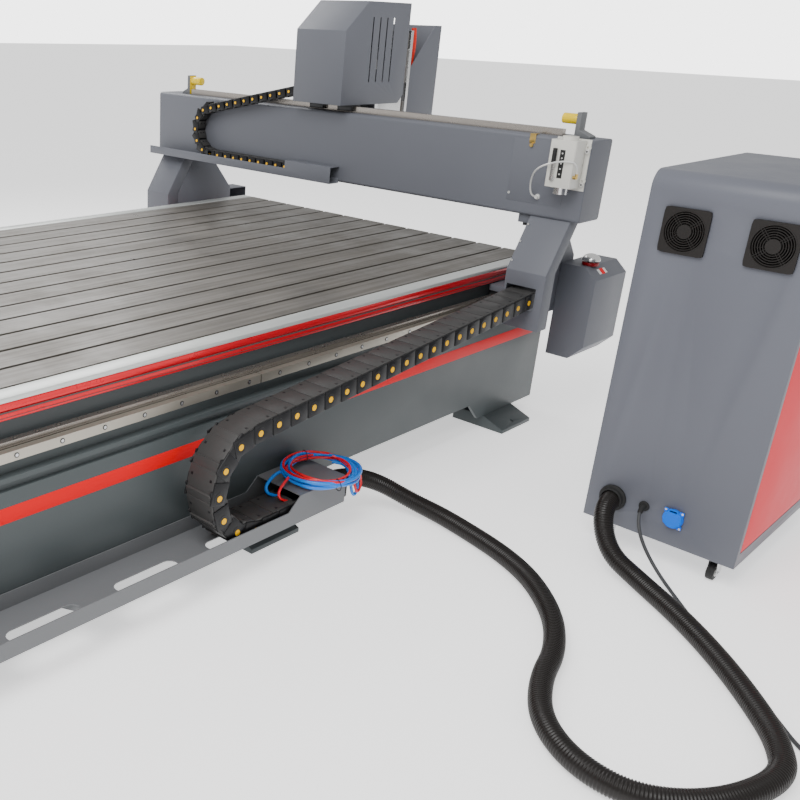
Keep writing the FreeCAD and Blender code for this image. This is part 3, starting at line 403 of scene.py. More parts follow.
def screws(name, places, axis, radius, height, material, body):
    """A set of hexagon-socket cap screws, heads along an axis."""
    bm = bmesh.new()
    for place in places:
        add_rod(bm, place, axis, radius, height, sides=14, tip=radius * 0.9)
        far = list(place)
        far["xyz".index(axis)] += height
        add_rod(bm, far, axis, radius * 0.45, 0.3, sides=6, material=1)
    return finished(bm, name, [material, dark_steel], body)


# %% [markdown]
# The floor is a plain pale sheet just below the feet. The bed is welded plate with folded
# edges, so its corners are slightly round and catch the light. Rounded copies stand in for
# the sharp frame nodes; the rest only need a finish.

# %% Floor, bed, table and gantry plates
FLOOR_HALF = 40
FLOOR_DROP = 0.0006
stage_floor = bmesh.new()
bmesh.ops.create_grid(stage_floor, x_segments=1, y_segments=1, size=FLOOR_HALF)
bmesh.ops.translate(stage_floor, vec=(0, 0, -FLOOR_DROP), verts=stage_floor.verts)
finished(stage_floor, "floor", floor_pale, None)

for name, material, width in (
    ("side_frames", bed_paint, 2.0), ("gantry_beam", machine_paint, 3.0),
    ("gantry_legs", machine_paint, 2.0), ("leg_covers", machine_paint, 2.5),
    ("motor_housings", machine_paint, 3.0), ("head_hood", machine_paint, 1.5),
    ("spindle_casing", machine_paint, 1.0), ("cabinet_shell", cabinet_paint, 1.0),
    ("beam_chain_tray", machine_paint, 0.8),
    ("table_edge_strips", bright_strip, 1.2), ("edge_profiles", anodised_red, 2.5),
    ("cabinet_door", coral_red, 1.5), ("cable_glands", rubber_black, 1.2),
    ("x_carriage", zinc, 1.5), ("z_plate", zinc, 1.5), ("travel_bumpers", bumper_yellow, 1.5),
    ("head_bearing_blocks", dark_steel, 1.5), ("y_bearing_blocks", dark_steel, 1.5),
    ("power_socket", socket_blue, 1.0), ("collet_nut", dark_steel, 1.0),
):
    softened(name, material, width)
for name, material in (
    ("chain_tray", tray_paint), ("table_base", bed_paint), ("table_strips", worn_strip),
    ("end_covers", bed_paint),
    ("y_rails", rail_steel), ("y_racks", rack_steel), ("x_rails", rail_steel),
    ("y_motors", rubber_black), ("head_motors", rubber_black), ("y_pinions", rack_steel),
    ("x_pinion", rack_steel), ("z_screw", zinc), ("z_rails", rail_steel), ("spindle", zinc),
    ("fan_rotor_left", fan_black), ("fan_rotor_right", fan_black), ("mains_plug", rubber_black),
):
    paint(name, material)

# %% [markdown]
# A red band runs the whole length of each side panel, and the guide rails and racks show their
# fixing holes: one plug every 60 mm on top of the rail and one screw every 125 mm in the rack.

# %% Stripes, rail plugs and rack screws
bed_low, bed_high = reach("side_frames")
BED_HALF = 1600
STRIPE_LOW, STRIPE_HIGH = 325, 365
STRIPE_INNER, STRIPE_OUTER = 849.8, 850.6
RAIL_X, RAIL_TOP = 814, 511.6
RACK_FACE, RACK_Z = 846, 485
PLUGS, PLUG_STEP = 53, 60
RACK_SCREWS, RACK_STEP = 25, 125
for side_name, s in (("right", 1), ("left", -1)):
    stripe = bmesh.new()
    edges = sorted((s * STRIPE_INNER, s * STRIPE_OUTER))
    add_box(stripe, (edges[0], -BED_HALF, STRIPE_LOW), (edges[1], BED_HALF, STRIPE_HIGH), 0.2)
    finished(stripe, "side_stripe_" + side_name, stripe_red, "frame")
    plugs = bmesh.new()
    for i in range(PLUGS):
        y = -BED_HALF + 40 + PLUG_STEP * i
        add_rod(plugs, (s * RAIL_X, y, RAIL_TOP), "z", 5.2, 0.8, sides=16)
        add_rod(plugs, (s * RAIL_X, y, RAIL_TOP + 0.6), "z", 3.6, 0.5, material=1, sides=12)
    finished(plugs, "rail_plugs_" + side_name, [dark_steel, rack_steel], "frame")
    holes = bmesh.new()
    for i in range(RACK_SCREWS):
        y = -BED_HALF + 52 + RACK_STEP * i
        face = RACK_FACE if s > 0 else -RACK_FACE - 0.8
        add_rod(holes, (face, y, RACK_Z), "x", 6.5, 0.8, sides=20)
        add_rod(holes, (face + (0.4 if s > 0 else -0.3), y, RACK_Z), "x", 4.2, 0.8, material=1, sides=14)
    finished(holes, "rack_screws_" + side_name, [dark_steel, zinc], "frame")
print("bed", bed_low[:], bed_high[:])


# %% [markdown]
# A cable chain is a row of moulded links, each pinned to the next. A link is a pair of side
# plates, a raised lid above and below, and a coloured cap on its pin. Every link is its own
# object, so the frame can spread the links as the gantry or the head moves.

# %% One chain link
def link_mesh(pitch, high, wide, cap_side, core):
    """A link along +X from its pin at the origin, in millimetres about zero, lids at the top."""
    bm = bmesh.new()
    half = wide / 2

    def block(x0, x1, y0, y1, z0, z1, material, edge):
        verts = bmesh.ops.create_cube(bm, size=1.0)["verts"]
        bmesh.ops.scale(bm, vec=((x1 - x0) / 1000, (y1 - y0) / 1000, (z1 - z0) / 1000), verts=verts)
        middle = ((x0 + x1) / 2000, (y0 + y1) / 2000, (z0 + z1) / 2000)
        bmesh.ops.translate(bm, vec=middle, verts=verts)
        colour_faces(verts, material)
        round_edges(bm, edges_of(verts), edge)

    def boss(x, y0, y1, radius, material, sides=20):
        matrix = Matrix.Translation((x / 1000, (y0 + y1) / 2000, 0)) @ Matrix.Rotation(math.pi / 2, 4, "X")
        made = bmesh.ops.create_cone(bm, cap_ends=True, segments=sides, radius1=radius / 1000,
                                     radius2=radius / 1000, depth=abs(y1 - y0) / 1000, matrix=matrix)
        colour_faces(made["verts"], material)

    for s in (-1, 1):
        y = sorted((s * (half - 6), s * (half - 0.6)))
        block(-high * 0.36, pitch * 0.62, *y, -high * 0.46, high * 0.46, 0, high * 0.1)
        y = sorted((s * (half - 9), s * (half - 3)))
        block(pitch * 0.4, pitch + high * 0.3 + core, *y, -high * 0.40, high * 0.40, 0, high * 0.08)
        y = sorted((s * (half - 4), s * half))
        boss(0, *y, high * 0.30, 0)
        y = sorted((s * (half - 3), s * (half + (0.9 if s == cap_side else -0.2))))
        boss(0, *y, high * 0.15, 2, sides=18)
    for up in (-1, 1):
        z = sorted((up * high * 0.36, up * high * 0.5))
        ends = (0.03, 0.98) if up > 0 else (0.14, 0.80)
        block(pitch * ends[0], pitch * ends[1], -half + 5, half - 5, *z, 1, high * 0.035)
        for latch in (-half + 13, half - 21):
            block(pitch * 0.55, pitch * 0.66, latch, latch + 8, z[0] - 0.4, z[1] + 0.5, 0, 0.8)
        z = sorted((up * high * 0.30, up * high * (0.47 if up > 0 else 0.43)))
        block(pitch * 0.5, pitch * 1.10 + core * (up > 0), -half + 7, half - 7, *z, int(up > 0), high * 0.04)
    mesh = bpy.data.meshes.new("link")
    bm.to_mesh(mesh)
    bm.free()
    return mesh


LEVEL_WAY = 5000


def lay_link(name, base, pin, next_pin, across, weight, pair):
    """A copy of the link between two pins, moving by weight between the pair of bodies."""
    along = (next_pin - pin).normalized()
    side_way = Vector(across)
    top = along.cross(side_way)
    turn = Matrix((along, side_way, top)).transposed().to_4x4()
    mesh = base.copy()
    mesh.transform(Matrix.Translation(pin) @ turn)
    for slot in (chain_black, chain_lid, dot_yellow):
        mesh.materials.append(slot)
    mesh.shade_smooth()
    mesh.set_sharp_from_angle(angle=math.radians(30))
    made = bpy.data.objects.new(name, mesh)
    bpy.context.scene.collection.objects.link(made)
    # The pair's blend is level across a link when its line is far longer than the machine.
    share = 0.5 - math.sin(math.asin(1 - 2 * min(max(weight, 0), 1)) / 3)
    way = Vector((0, 0, LEVEL_WAY))
    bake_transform(made, *pair, start=pin - way * share, end=pin + way * (1 - share))
    return made


# %% [markdown]
# The long chain lies in its tray, bends round and rises to the gantry. Its bend moves half as
# far as the gantry, so a link's share runs from a half at the bend to the whole at the mouth.
# Spare links wait inside the end box and come out as the gantry travels forward.

# %% The long chain beside the bed
chain_low, chain_high = reach("long_chain_bend")
run_high = reach("long_chain_top_run")[1]
CHAIN_X = (chain_low.x + chain_high.x) / 2
CHAIN_WIDE = chain_high.x - chain_low.x
CHAIN_HIGH = 58
PITCH = 70
BEND_Z = (chain_low.z + chain_high.z) / 2
BEND_Y = chain_high.y
BEND_R = (chain_high.z - chain_low.z) / 2 - CHAIN_HIGH / 2 + 1
TRAVEL = 2475
TOP_LINKS, BEND_LINKS, TRAY_LINKS = 20, 6, 21
FREE_LINKS, SPARE_STEP = 2, 9
link = link_mesh(PITCH, CHAIN_HIGH, CHAIN_WIDE, -1, core=18)
shown = []
mouth = Vector((run_high.y, run_high.z - CHAIN_HIGH / 2))
start = Vector((BEND_Y, BEND_Z + BEND_R))
step = (mouth - start) / TOP_LINKS
for i in range(TOP_LINKS):
    pin, ahead = start + step * i, start + step * (i + 1)
    share = 0.5 + 0.5 * i / (TOP_LINKS - 1)
    shown.append(lay_link("chain_link_top_%02d" % (i + 1), link, at(CHAIN_X, *pin), at(CHAIN_X, *ahead),
                          (-1, 0, 0), share, ("frame", "gantry")))
for i in range(BEND_LINKS):
    angles = [math.pi / 2 + math.pi * (i + extra) / BEND_LINKS for extra in (0, 1)]
    pins = [at(CHAIN_X, BEND_Y + BEND_R * math.cos(a), BEND_Z + BEND_R * math.sin(a)) for a in angles]
    shown.append(lay_link("chain_link_bend_%d" % (i + 1), link, pins[1], pins[0],
                          (-1, 0, 0), 0.5, ("frame", "gantry")))
low_z = BEND_Z - BEND_R
for i in range(TRAY_LINKS):
    y = BEND_Y + PITCH * min(i, FREE_LINKS) + SPARE_STEP * max(i - FREE_LINKS, 0)
    forward = BEND_Y - TRAVEL / 2 + PITCH * i
    share = (y - forward) / TRAVEL
    # Neighbours lie a hair apart in height, so their faces never meet exactly.
    lift = 0.15 * (i % 3)
    shown.append(lay_link("chain_link_tray_%02d" % (i + 1), link, at(CHAIN_X, y + PITCH, low_z + lift),
                          at(CHAIN_X, y, low_z + lift), (1, 0, 0), share, ("frame", "gantry")))
for node, piece in zip(("long_chain_top_run", "long_chain_bend", "long_chain_tray_run"),
                       (shown[0], shown[TOP_LINKS], shown[-1])):
    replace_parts(piece, node)
print(len(shown), "long chain links, bend radius", round(BEND_R))

# %% [markdown]
# A smaller chain on the beam feeds the head. It is laid in the same way: a top run to the
# carriage, a bend of six links and a run in the tray that stays with the gantry.

# %% The short chain on the beam
short_low, short_high = reach("short_chain_bend")
rise_high = reach("short_chain_top_run")[1]
SHORT_Y = (short_low.y + short_high.y) / 2
SHORT_WIDE = short_high.y - short_low.y
SHORT_HIGH = 36
SHORT_PITCH = 50.5
SHORT_Z = (short_low.z + short_high.z) / 2
SHORT_X = short_high.x
SHORT_R = (short_high.z - short_low.z) / 2 - SHORT_HIGH / 2
SHORT_RUN_LINKS, SHORT_BEND_LINKS = 10, 6
short_link = link_mesh(SHORT_PITCH, SHORT_HIGH, SHORT_WIDE, -1, core=30)
shown = []
start = Vector((SHORT_X, SHORT_Z + SHORT_R))
end = Vector((rise_high.x, rise_high.z - SHORT_HIGH / 2))
step = (end - start) / SHORT_RUN_LINKS
pair = ("gantry", "carriage")
for i in range(SHORT_RUN_LINKS):
    pin, ahead = start + step * i, start + step * (i + 1)
    share = 0.5 + 0.5 * i / (SHORT_RUN_LINKS - 1)
    shown.append(lay_link("short_link_top_%02d" % (i + 1), short_link, at(pin.x, SHORT_Y, pin.y),
                          at(ahead.x, SHORT_Y, ahead.y), (0, 1, 0), share, pair))
for i in range(SHORT_BEND_LINKS):
    angles = [math.pi / 2 + math.pi * (i + extra) / SHORT_BEND_LINKS for extra in (0, 1)]
    pins = [at(SHORT_X + SHORT_R * math.cos(a), SHORT_Y, SHORT_Z + SHORT_R * math.sin(a)) for a in angles]
    shown.append(lay_link("short_link_bend_%d" % (i + 1), short_link, pins[1], pins[0],
                          (0, 1, 0), 0.5, pair))
for i in range(SHORT_RUN_LINKS):
    x = SHORT_X + SHORT_PITCH * i
    shown.append(lay_link("short_link_tray_%02d" % (i + 1), short_link,
                          at(x, SHORT_Y, SHORT_Z - SHORT_R), at(x + SHORT_PITCH, SHORT_Y, SHORT_Z - SHORT_R),
                          (0, 1, 0), 0.5 - 0.5 * i / (SHORT_RUN_LINKS - 1), pair))
for node, piece in zip(("short_chain_top_run", "short_chain_bend", "short_chain_tray_run"),
                       (shown[0], shown[SHORT_RUN_LINKS], shown[-1])):
    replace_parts(piece, node)
print(len(shown), "short chain links")


# %% [markdown]
# The loose cords come next. A cord's line is a smooth spline through a few given points.
# The line is read back as a dense row of points, and rings of vertices around it make the
# tube, so a ribbed conduit is only a tube whose radius rises and falls along the way.

# %% Tubes along a line
def smooth_line(points):
    """The points of a smooth spline steered by a few places in millimetres."""
    data = bpy.data.curves.new("line", "CURVE")
    data.dimensions = "3D"
    data.resolution_u = 24
    spline = data.splines.new("NURBS")
    spline.points.add(len(points) - 1)
    for knot, point in zip(spline.points, points):
        knot.co = (*at(*point), 1)
    spline.order_u = 3
    spline.use_endpoint_u = True
    holder = bpy.data.objects.new("line", data)
    bpy.context.scene.collection.objects.link(holder)
    bpy.context.view_layer.update()
    mesh = bpy.data.meshes.new_from_object(holder)
    line = [vert.co.copy() for vert in mesh.vertices]
    bpy.data.objects.remove(holder)
    bpy.data.meshes.remove(mesh)
    return line


def line_length(line):
    """The length of a line in metres."""
    return sum((b - a).length for a, b in zip(line, line[1:]))


def evenly(line, step):
    """The same line with its points one step apart."""
    marks, gone = [line[0].copy()], 0.0
    for a, b in zip(line, line[1:]):
        span = (b - a).length
        while span and gone + span >= step:
            a = a + (b - a) * ((step - gone) / span)
            span = (b - a).length
            gone = 0.0
            marks.append(a.copy())
        gone += span
    if (line[-1] - marks[-1]).length > step * 0.3:
        marks.append(line[-1].copy())
    return marks


def tube_along(name, line, radii, sides, material, body, smooth=35):
    """A closed tube around a line. radii gives one radius in metres for each point."""
    bm = bmesh.new()
    rings = []
    side_way = (line[1] - line[0]).orthogonal().normalized()
    for i, point in enumerate(line):
        ahead = (line[min(i + 1, len(line) - 1)] - line[max(i - 1, 0)]).normalized()
        side_way = (side_way - ahead * side_way.dot(ahead)).normalized()
        other = ahead.cross(side_way)
        rings.append([bm.verts.new(point + radii[i] * (math.cos(turn) * side_way + math.sin(turn) * other))
                      for turn in (2 * math.pi * k / sides for k in range(sides))])
    for one, two in zip(rings, rings[1:]):
        for k in range(sides):
            bm.faces.new((one[k], one[(k + 1) % sides], two[(k + 1) % sides], two[k]))
    bm.faces.new(reversed(rings[0]))
    bm.faces.new(rings[-1])
    return finished(bm, name, material, body, smooth=smooth)


# %% [markdown]
# The conduit is a ribbed plastic hose, 54 mm across, with a rib about every 7 mm. It runs in one
# loose S along the floor from the end box of the chain to the gland low on the cabinet.

# %% Ribbed conduit
HOSE = [(936, 186, 136), (936, 290, 130), (985, 400, 95), (1085, 455, 45), (1224, 468, 28),
        (1505, 391, 28), (1678, 250, 28), (1770, 100, 28), (1804, -41, 28), (1875, -169, 28),
        (1994, -242, 28), (2127, -238, 28), (2240, -130, 28), (2304, 39, 28), (2261, 144, 28),
        (2170, 250, 28), (2058, 360, 28), (1920, 470, 28), (1767, 566, 28), (1655, 592, 62),
        (1586, 662, 157), (1586, 750, 157)]
hose_line = smooth_line(HOSE)
RIB = 0.0072
marks = evenly(hose_line, RIB / 4)
RIB_RADIUS, NECK_RADIUS = 0.0270, 0.0250
profile = (RIB_RADIUS, RIB_RADIUS, NECK_RADIUS, NECK_RADIUS)
radii = [profile[i % 4] for i in range(len(marks))]
hose = tube_along("conduit", marks, radii, 24, hose_black, "frame", smooth=60)
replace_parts(hose, "conduit_hose")
print("conduit", round(line_length(hose_line), 3), "m")

# %% [markdown]
# The mains lead leaves through a rubber bush, drops to the floor and crosses to its plug. Its
# strain relief is a short rubber sleeve with ribs that thins towards the lead.

# %% Mains lead
MAINS = [(1677, 756, 164), (1677, 722, 164), (1684, 692, 150), (1700, 674, 116), (1734, 664, 70),
         (1788, 646, 26), (1856, 600, 6), (1936, 520, 6), (2020, 443, 6), (2100, 376, 6),
         (2204, 280, 6), (2308, 176, 6), (2400, 170, 6), (2458, 260, 6), (2462, 420, 6),
         (2436, 600, 6), (2440, 800, 6), (2430, 1000, 6), (2370, 1150, 6), (2240, 1200, 6),
         (2130, 1130, 6), (2110, 990, 6), (2180, 880, 6), (2300, 860, 6)]
mains_line = smooth_line(MAINS)
marks = evenly(mains_line, 0.008)
LEAD_RADIUS = 0.005
lead = tube_along("mains_lead", marks, [LEAD_RADIUS] * len(marks), 14, cable_grey, "frame")
RELIEF_START, RELIEF_END = 14, 38
relief_line = evenly(mains_line, 0.0015)[RELIEF_START:RELIEF_END]
ribs = [0.0092 - 0.0001 * i - (0.0012 if i % 4 > 1 and i > 4 else 0) for i in range(len(relief_line))]
relief = tube_along("lead_strain_relief", relief_line, ribs, 18, rubber_black, "frame", smooth=50)
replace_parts(lead, "mains_cable")
print("mains lead", round(line_length(mains_line), 3), "m")

# %% [markdown]
# Spare air tube lies coiled on the end box: a blue tube and a thinner red one, wound by hand,
# so the turns vary in size and tilt. Each starts inside the box's mouth. Its other end hangs
# over the side in a loop and comes back up to rest, cut bare, on the coil.

# %% Coil of air tube
COIL_MIDDLE = Vector((979, 130, 211))
COIL_RADIUS = 104
TURN_POINTS = 14
TIE_OUT, TIE_UP, TIE_POINTS = 19, 16, 28


def coil(name, material, turns, radius, thick, start_turn, lift, seed, tail, hanging):
    """A hand-wound coil between its two loose ends: uneven turns, sizes in millimetres."""
    points = list(tail)
    for i in range(int(turns * TURN_POINTS)):
        turn = start_turn + 2 * math.pi * i / TURN_POINTS
        wave = math.sin(turn * 1.37 + seed) + 0.6 * math.sin(turn * 0.61 + 2 * seed)
        reach_out = radius + 8.5 * wave
        height = lift + 8 * math.sin(turn * 0.83 + seed * 1.7) + 3 * math.sin(turn * 2.1 + seed)
        points.append((COIL_MIDDLE.x + reach_out * math.cos(turn),
                       COIL_MIDDLE.y + reach_out * math.sin(turn), COIL_MIDDLE.z + height))
    line = smooth_line(points + list(hanging))
    marks = evenly(line, 0.006)
    made = tube_along(name, marks, [thick / 2000] * len(marks), 12, material, "frame")
    print(name, round(line_length(line), 3), "m")
    return made, line


blue, blue_line = coil("blue_air_tube", tube_blue, 6.93, 105, 9.5, -2.3, 0, 0.5,
                       ((950, 30, 150), (938, -30, 160), (925, -52, 190), (912, 10, 214)),
                       ((860, 190, 214), (930, 222, 218), (985, 232, 206), (1008, 236, 172),
                        (1014, 240, 118), (1016, 256, 98), (1015, 272, 126), (1008, 258, 186),
                        (990, 226, 205), (960, 205, 208)))
red, red_line = coil("red_air_tube", tube_red, 3.93, 99, 8, -1.9, 4, 2.9,
                     ((985, 30, 145), (980, -30, 160), (970, -46, 190), (955, 20, 216)),
                     ((868, 170, 206), (915, 214, 224), (970, 236, 212), (1004, 246, 180),
                      (1020, 250, 128), (1021, 264, 108), (1020, 280, 136), (1012, 268, 190),
                      (996, 236, 212), (950, 215, 220)))
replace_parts(blue, "tube_coil")
for number, turn in enumerate((2.75, 5.9)):
    out = Vector((math.cos(turn), math.sin(turn), 0))
    centre = COIL_MIDDLE + COIL_RADIUS * out
    ring = [at(*(centre + TIE_OUT * math.cos(a) * out + Vector((0, 0, TIE_UP * math.sin(a)))))
            for a in (2 * math.pi * k / TIE_POINTS for k in range(TIE_POINTS + 1))]
    tube_along("coil_tie_%d" % (number + 1), ring, [0.0012] * len(ring), 6,
                           rubber_black, "frame")

# %% [markdown]
# The cabinet has two round-grilled fans, a blue socket with a sprung lid, a red side panel and
# braked casters. The grilles are concentric rings held by pairs of spokes.

# %% Cabinet details
def recolour(made, index, rule):
    """Gives faces whose middle passes the rule, in millimetres, another of the piece's finishes."""
    for face in made.data.polygons:
        if rule((face.center - MIDDLE) * 1000):
            face.material_index = index


def ring_of(bm, middle, radius, thick, around=36):
    """A thin ring facing along Y, six-sided in section."""
    sides = 6
    rings = []
    for i in range(around):
        turn = 2 * math.pi * i / around
        out = Vector((math.cos(turn), 0, math.sin(turn)))
        rings.append([bm.verts.new(at(*middle) + (out * (radius + thick * math.cos(a))
                                                  + Vector((0, thick * math.sin(a), 0))) / 1000)
                      for a in (2 * math.pi * k / sides for k in range(sides))])
    for i in range(around):
        one, two = rings[i], rings[(i + 1) % around]
        for k in range(sides):
            bm.faces.new((one[k], one[(k + 1) % sides], two[(k + 1) % sides], two[k]))


def square_with_hole(bm, middle, half, radius, deep):
    """A square plate facing along Y with a round hole, its front at the middle's Y."""
    around = 48
    corner_cut = 1.36
    loops = []
    for y in (0, deep):
        for outer in (False, True):
            verts = []
            for i in range(around):
                turn = 2 * math.pi * i / around
                c, s = math.cos(turn), math.sin(turn)
                size = min(half / max(abs(c), abs(s)), half * corner_cut) if outer else radius
                verts.append(bm.verts.new(at(middle[0] + size * c, middle[1] + y, middle[2] + size * s)))
            loops.append(verts)
    for one, two in ((0, 1), (1, 3), (3, 2), (2, 0)):
        for i in range(around):
            j = (i + 1) % around
            bm.faces.new((loops[one][i], loops[one][j], loops[two][j], loops[two][i]))


guard_low, guard_high = reach("fan_guards")
FAN_Z = (guard_low.z + guard_high.z) / 2
FACE_Y = guard_low.y
FAN_XS = (1619, 1833)
RING_RADII = (23, 29, 35, 41, 47)
SPOKE_TURN, SPOKE_HALF_GAP = 40, 3.2
grilles = bmesh.new()
for fan_x in FAN_XS:
    square_with_hole(grilles, (fan_x, FACE_Y, FAN_Z), 59, 53, 7)
    square_with_hole(grilles, (fan_x, FACE_Y + 11, FAN_Z), 58, 55, 30)
    for radius in RING_RADII:
        ring_of(grilles, (fan_x, FACE_Y + 2.5, FAN_Z), radius, 1.7)
    ring_of(grilles, (fan_x, FACE_Y + 2, FAN_Z), 53, 3.0, around=48)
    add_rod(grilles, (fan_x, FACE_Y + 0.5, FAN_Z), "y", 18.5, 3, sides=32)
    for quarter in range(4):
        turn = math.radians(SPOKE_TURN + 90 * quarter)
        for aside in (-SPOKE_HALF_GAP, SPOKE_HALF_GAP):
            spoke = bmesh.ops.create_cube(grilles, size=1.0)["verts"]
            bmesh.ops.scale(grilles, vec=(0.038, 0.002, 0.0016), verts=spoke)
            bmesh.ops.translate(grilles, vec=(0.036, 0, aside / 1000), verts=spoke)
            bmesh.ops.rotate(grilles, cent=(0, 0, 0), matrix=Matrix.Rotation(-turn, 3, "Y"),
                             verts=spoke)
            bmesh.ops.translate(grilles, vec=at(fan_x, FACE_Y + 1, FAN_Z), verts=spoke)
    add_box(grilles, (fan_x - 55, FACE_Y + 33, FAN_Z - 4), (fan_x + 55, FACE_Y + 38, FAN_Z + 4), 1.0)
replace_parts(finished(grilles, "fan_grilles", fan_black, "frame"), "fan_guards")

lid_low, lid_high = reach("socket_lid")
lid_middle = (lid_low + lid_high) / 2
lid = bmesh.new()
half_side = Matrix.Rotation(math.radians(18), 4, "Z")
lid_place = Matrix.Translation(at(lid_middle.x, lid_middle.y, lid_middle.z - 1))
bmesh.ops.create_cone(lid, cap_ends=True, segments=10, radius1=0.0275, radius2=0.0265,
                      depth=(lid_high.y - lid_low.y) / 1000,
                      matrix=lid_place @ Matrix.Rotation(math.radians(90), 4, "X") @ half_side)
add_box(lid, (lid_middle.x - 12, lid_low.y, lid_high.z - 9),
        (lid_middle.x + 12, lid_high.y, lid_high.z), 1.5)
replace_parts(finished(lid, "socket_lid_shown", socket_blue, "socket_lid"), "socket_lid")
socket_low, socket_high = reach("power_socket")
socket_front = socket_low.y + 0.6
corners = [(socket_low.x + 5, socket_front, socket_high.z - 5),
           (socket_high.x - 5, socket_front, socket_high.z - 5),
           (socket_high.x - 5, socket_front, socket_low.z + 5)]
screws("socket_screws", corners, "y", 3.4, -1.4, screw_white, "frame")

for word in ("front_left", "front_right", "rear_left", "rear_right"):
    paint("caster_fork_" + word, zinc)
    softened("caster_wheel_" + word, rubber_black, 3.0)
    low, high = reach("caster_wheel_" + word)
    middle = (low + high) / 2
    hub = bmesh.new()
    add_rod(hub, (low.x - 0.6, middle.y, middle.z), "x", 13, high.x - low.x + 1.2, sides=28)
    add_rod(hub, (low.x - 1.2, middle.y, middle.z), "x", 6, high.x - low.x + 2.4, material=1, sides=18)
    finished(hub, "wheel_hub_" + word, [screw_white, dark_steel], "wheel_" + word)
    fork_top = reach("caster_fork_" + word)[1].z
    pedal = bmesh.new()
    add_box(pedal, (middle.x - 9, middle.y + 22, middle.z + 8),
            (middle.x + 9, middle.y + 46, middle.z + 13), 1.6)
    add_box(pedal, (middle.x - 7, middle.y + 6, fork_top - 16),
            (middle.x + 7, middle.y + 30, fork_top - 11), 1.2)
    finished(pedal, "brake_pedal_" + word, dark_steel, "swivel_" + word)
door_low, door_high = reach("cabinet_door")
print("cabinet door", [round(v) for v in (*door_low, *door_high)])

# %% [markdown]
# The oil pump is a cream tank with a dark sight slot, a black-gripped lever, a bare metal foot
# and a brass elbow. A white tube leaves the elbow and goes into a grommet on the beam. Beside
# it are a brass tab, an access panel, a bracket, the stop button and a plain coloured label.

# %% Oil pump, stops and small fittings on the gantry
pump = softened("oil_pump_body", pump_cream, 2.0)
pump.data.materials.append(zinc)
tank_low, tank_high = reach("oil_pump_body")
recolour(pump, 1, lambda p: p.z < tank_low.z + 24 and p.y < tank_high.y - 6)
PUMP_X, FRONT = tank_low.x, tank_low.y
lever = softened("oil_pump_lever", zinc, 1.0)
lever.data.materials.append(rubber_black)
GRIP_LONG = 47
lever_top = reach("oil_pump_lever")[1].z
recolour(lever, 1, lambda p: p.z > lever_top - GRIP_LONG)
slot = bmesh.new()
add_box(slot, (PUMP_X + 54, FRONT - 0.8, 955), (PUMP_X + 72, FRONT + 1, 1045), 4.0)
for rise in (968, 985, 1002, 1019, 1034):
    add_rod(slot, (PUMP_X + 63, FRONT - 1.4, rise), "y", 2.6, 1.2, material=1, sides=12)
finished(slot, "sight_slot", [rubber_black, screw_white], "gantry")
elbow = bmesh.new()
add_rod(elbow, (PUMP_X + 104, FRONT + 12, 962), "x", 6, 13, sides=6)
add_rod(elbow, (PUMP_X + 117, FRONT + 12, 958), "z", 5, 16, sides=6)
finished(elbow, "brass_elbow", brass, "gantry")
bolts = bmesh.new()
for high in (935, 1041):
    add_rod(bolts, (PUMP_X + 113, tank_high.y - 6, high), "y", 6.5, -5.5, sides=16)
    add_rod(bolts, (PUMP_X + 113, tank_high.y - 11.5, high), "y", 3.2, -0.5, material=1, sides=6)
finished(bolts, "pump_bolts", [screw_white, dark_steel], "gantry")
GROMMET_Z = 874
oil_route = [(PUMP_X + 117, FRONT + 12, 974), (PUMP_X + 118, FRONT + 8, 1004),
             (PUMP_X + 96, FRONT - 8, 1014), (PUMP_X + 46, FRONT - 18, 1006),
             (PUMP_X - 20, FRONT - 6, 978), (PUMP_X - 52, FRONT + 30, 930),
             (PUMP_X - 56, FRONT + 52, 884), (PUMP_X - 44, FRONT + 64, GROMMET_Z),
             (PUMP_X - 40, tank_high.y + 4, GROMMET_Z)]
oil_line = evenly(smooth_line(oil_route), 0.004)
tube_along("oil_tube", oil_line, [0.003] * len(oil_line), 10, screw_white, "gantry")
BEAM_FACE = 1282
trim = bmesh.new()
add_rod(trim, (PUMP_X - 40, BEAM_FACE, GROMMET_Z), "y", 10, -6, sides=20, tip=8)
add_rod(trim, (PUMP_X - 40, BEAM_FACE - 6, GROMMET_Z), "y", 6, -8, sides=6)
finished(trim, "oil_grommet", screw_white, "gantry")
tab = bmesh.new()
add_box(tab, (850, BEAM_FACE - 2.2, 1046), (872, BEAM_FACE - 0.1, 1075.5), 0.4)
add_box(tab, (850, BEAM_FACE - 2.2, 1075), (872, BEAM_FACE + 22, 1077.5), 0.4)
add_rod(tab, (861, BEAM_FACE - 2, 1040), "y", 7, -5, sides=6)
finished(tab, "brass_tab", brass, "gantry")
panel = bmesh.new()
add_box(panel, (793, BEAM_FACE - 1.0, 849), (1000, BEAM_FACE + 0.5, 1060), 0.3)
finished(panel, "access_panel", machine_paint, "gantry")
screws("access_panel_screws", [(801, BEAM_FACE - 1, 874)], "y", 4.5, -2.0, screw_white, "gantry")
screws("leg_cover_screws", [(900, 1270, 780), (899, 1235, 725), (899, 1196, 664)], "y", 3.8, -2.0,
       screw_white, "gantry")
bracket = bmesh.new()
add_box(bracket, (842, 1300, 776), (892, 1372, 805.5), 1.5)
add_rod(bracket, (862, 1318, 776), "z", 8, -11, material=1, sides=6)
finished(bracket, "beam_bracket", [machine_paint, dark_steel], "gantry")

LEFT_BUMPER_BACK, RIGHT_BUMPER_BACK, BUMPER_FOOT = -915, 983, 1112
bumpers = bpy.data.objects["travel_bumpers_shown"]
bumpers.data.materials.append(tray_paint)
recolour(bumpers, 1, lambda p: p.x > RIGHT_BUMPER_BACK or p.x < LEFT_BUMPER_BACK or p.z < BUMPER_FOOT)

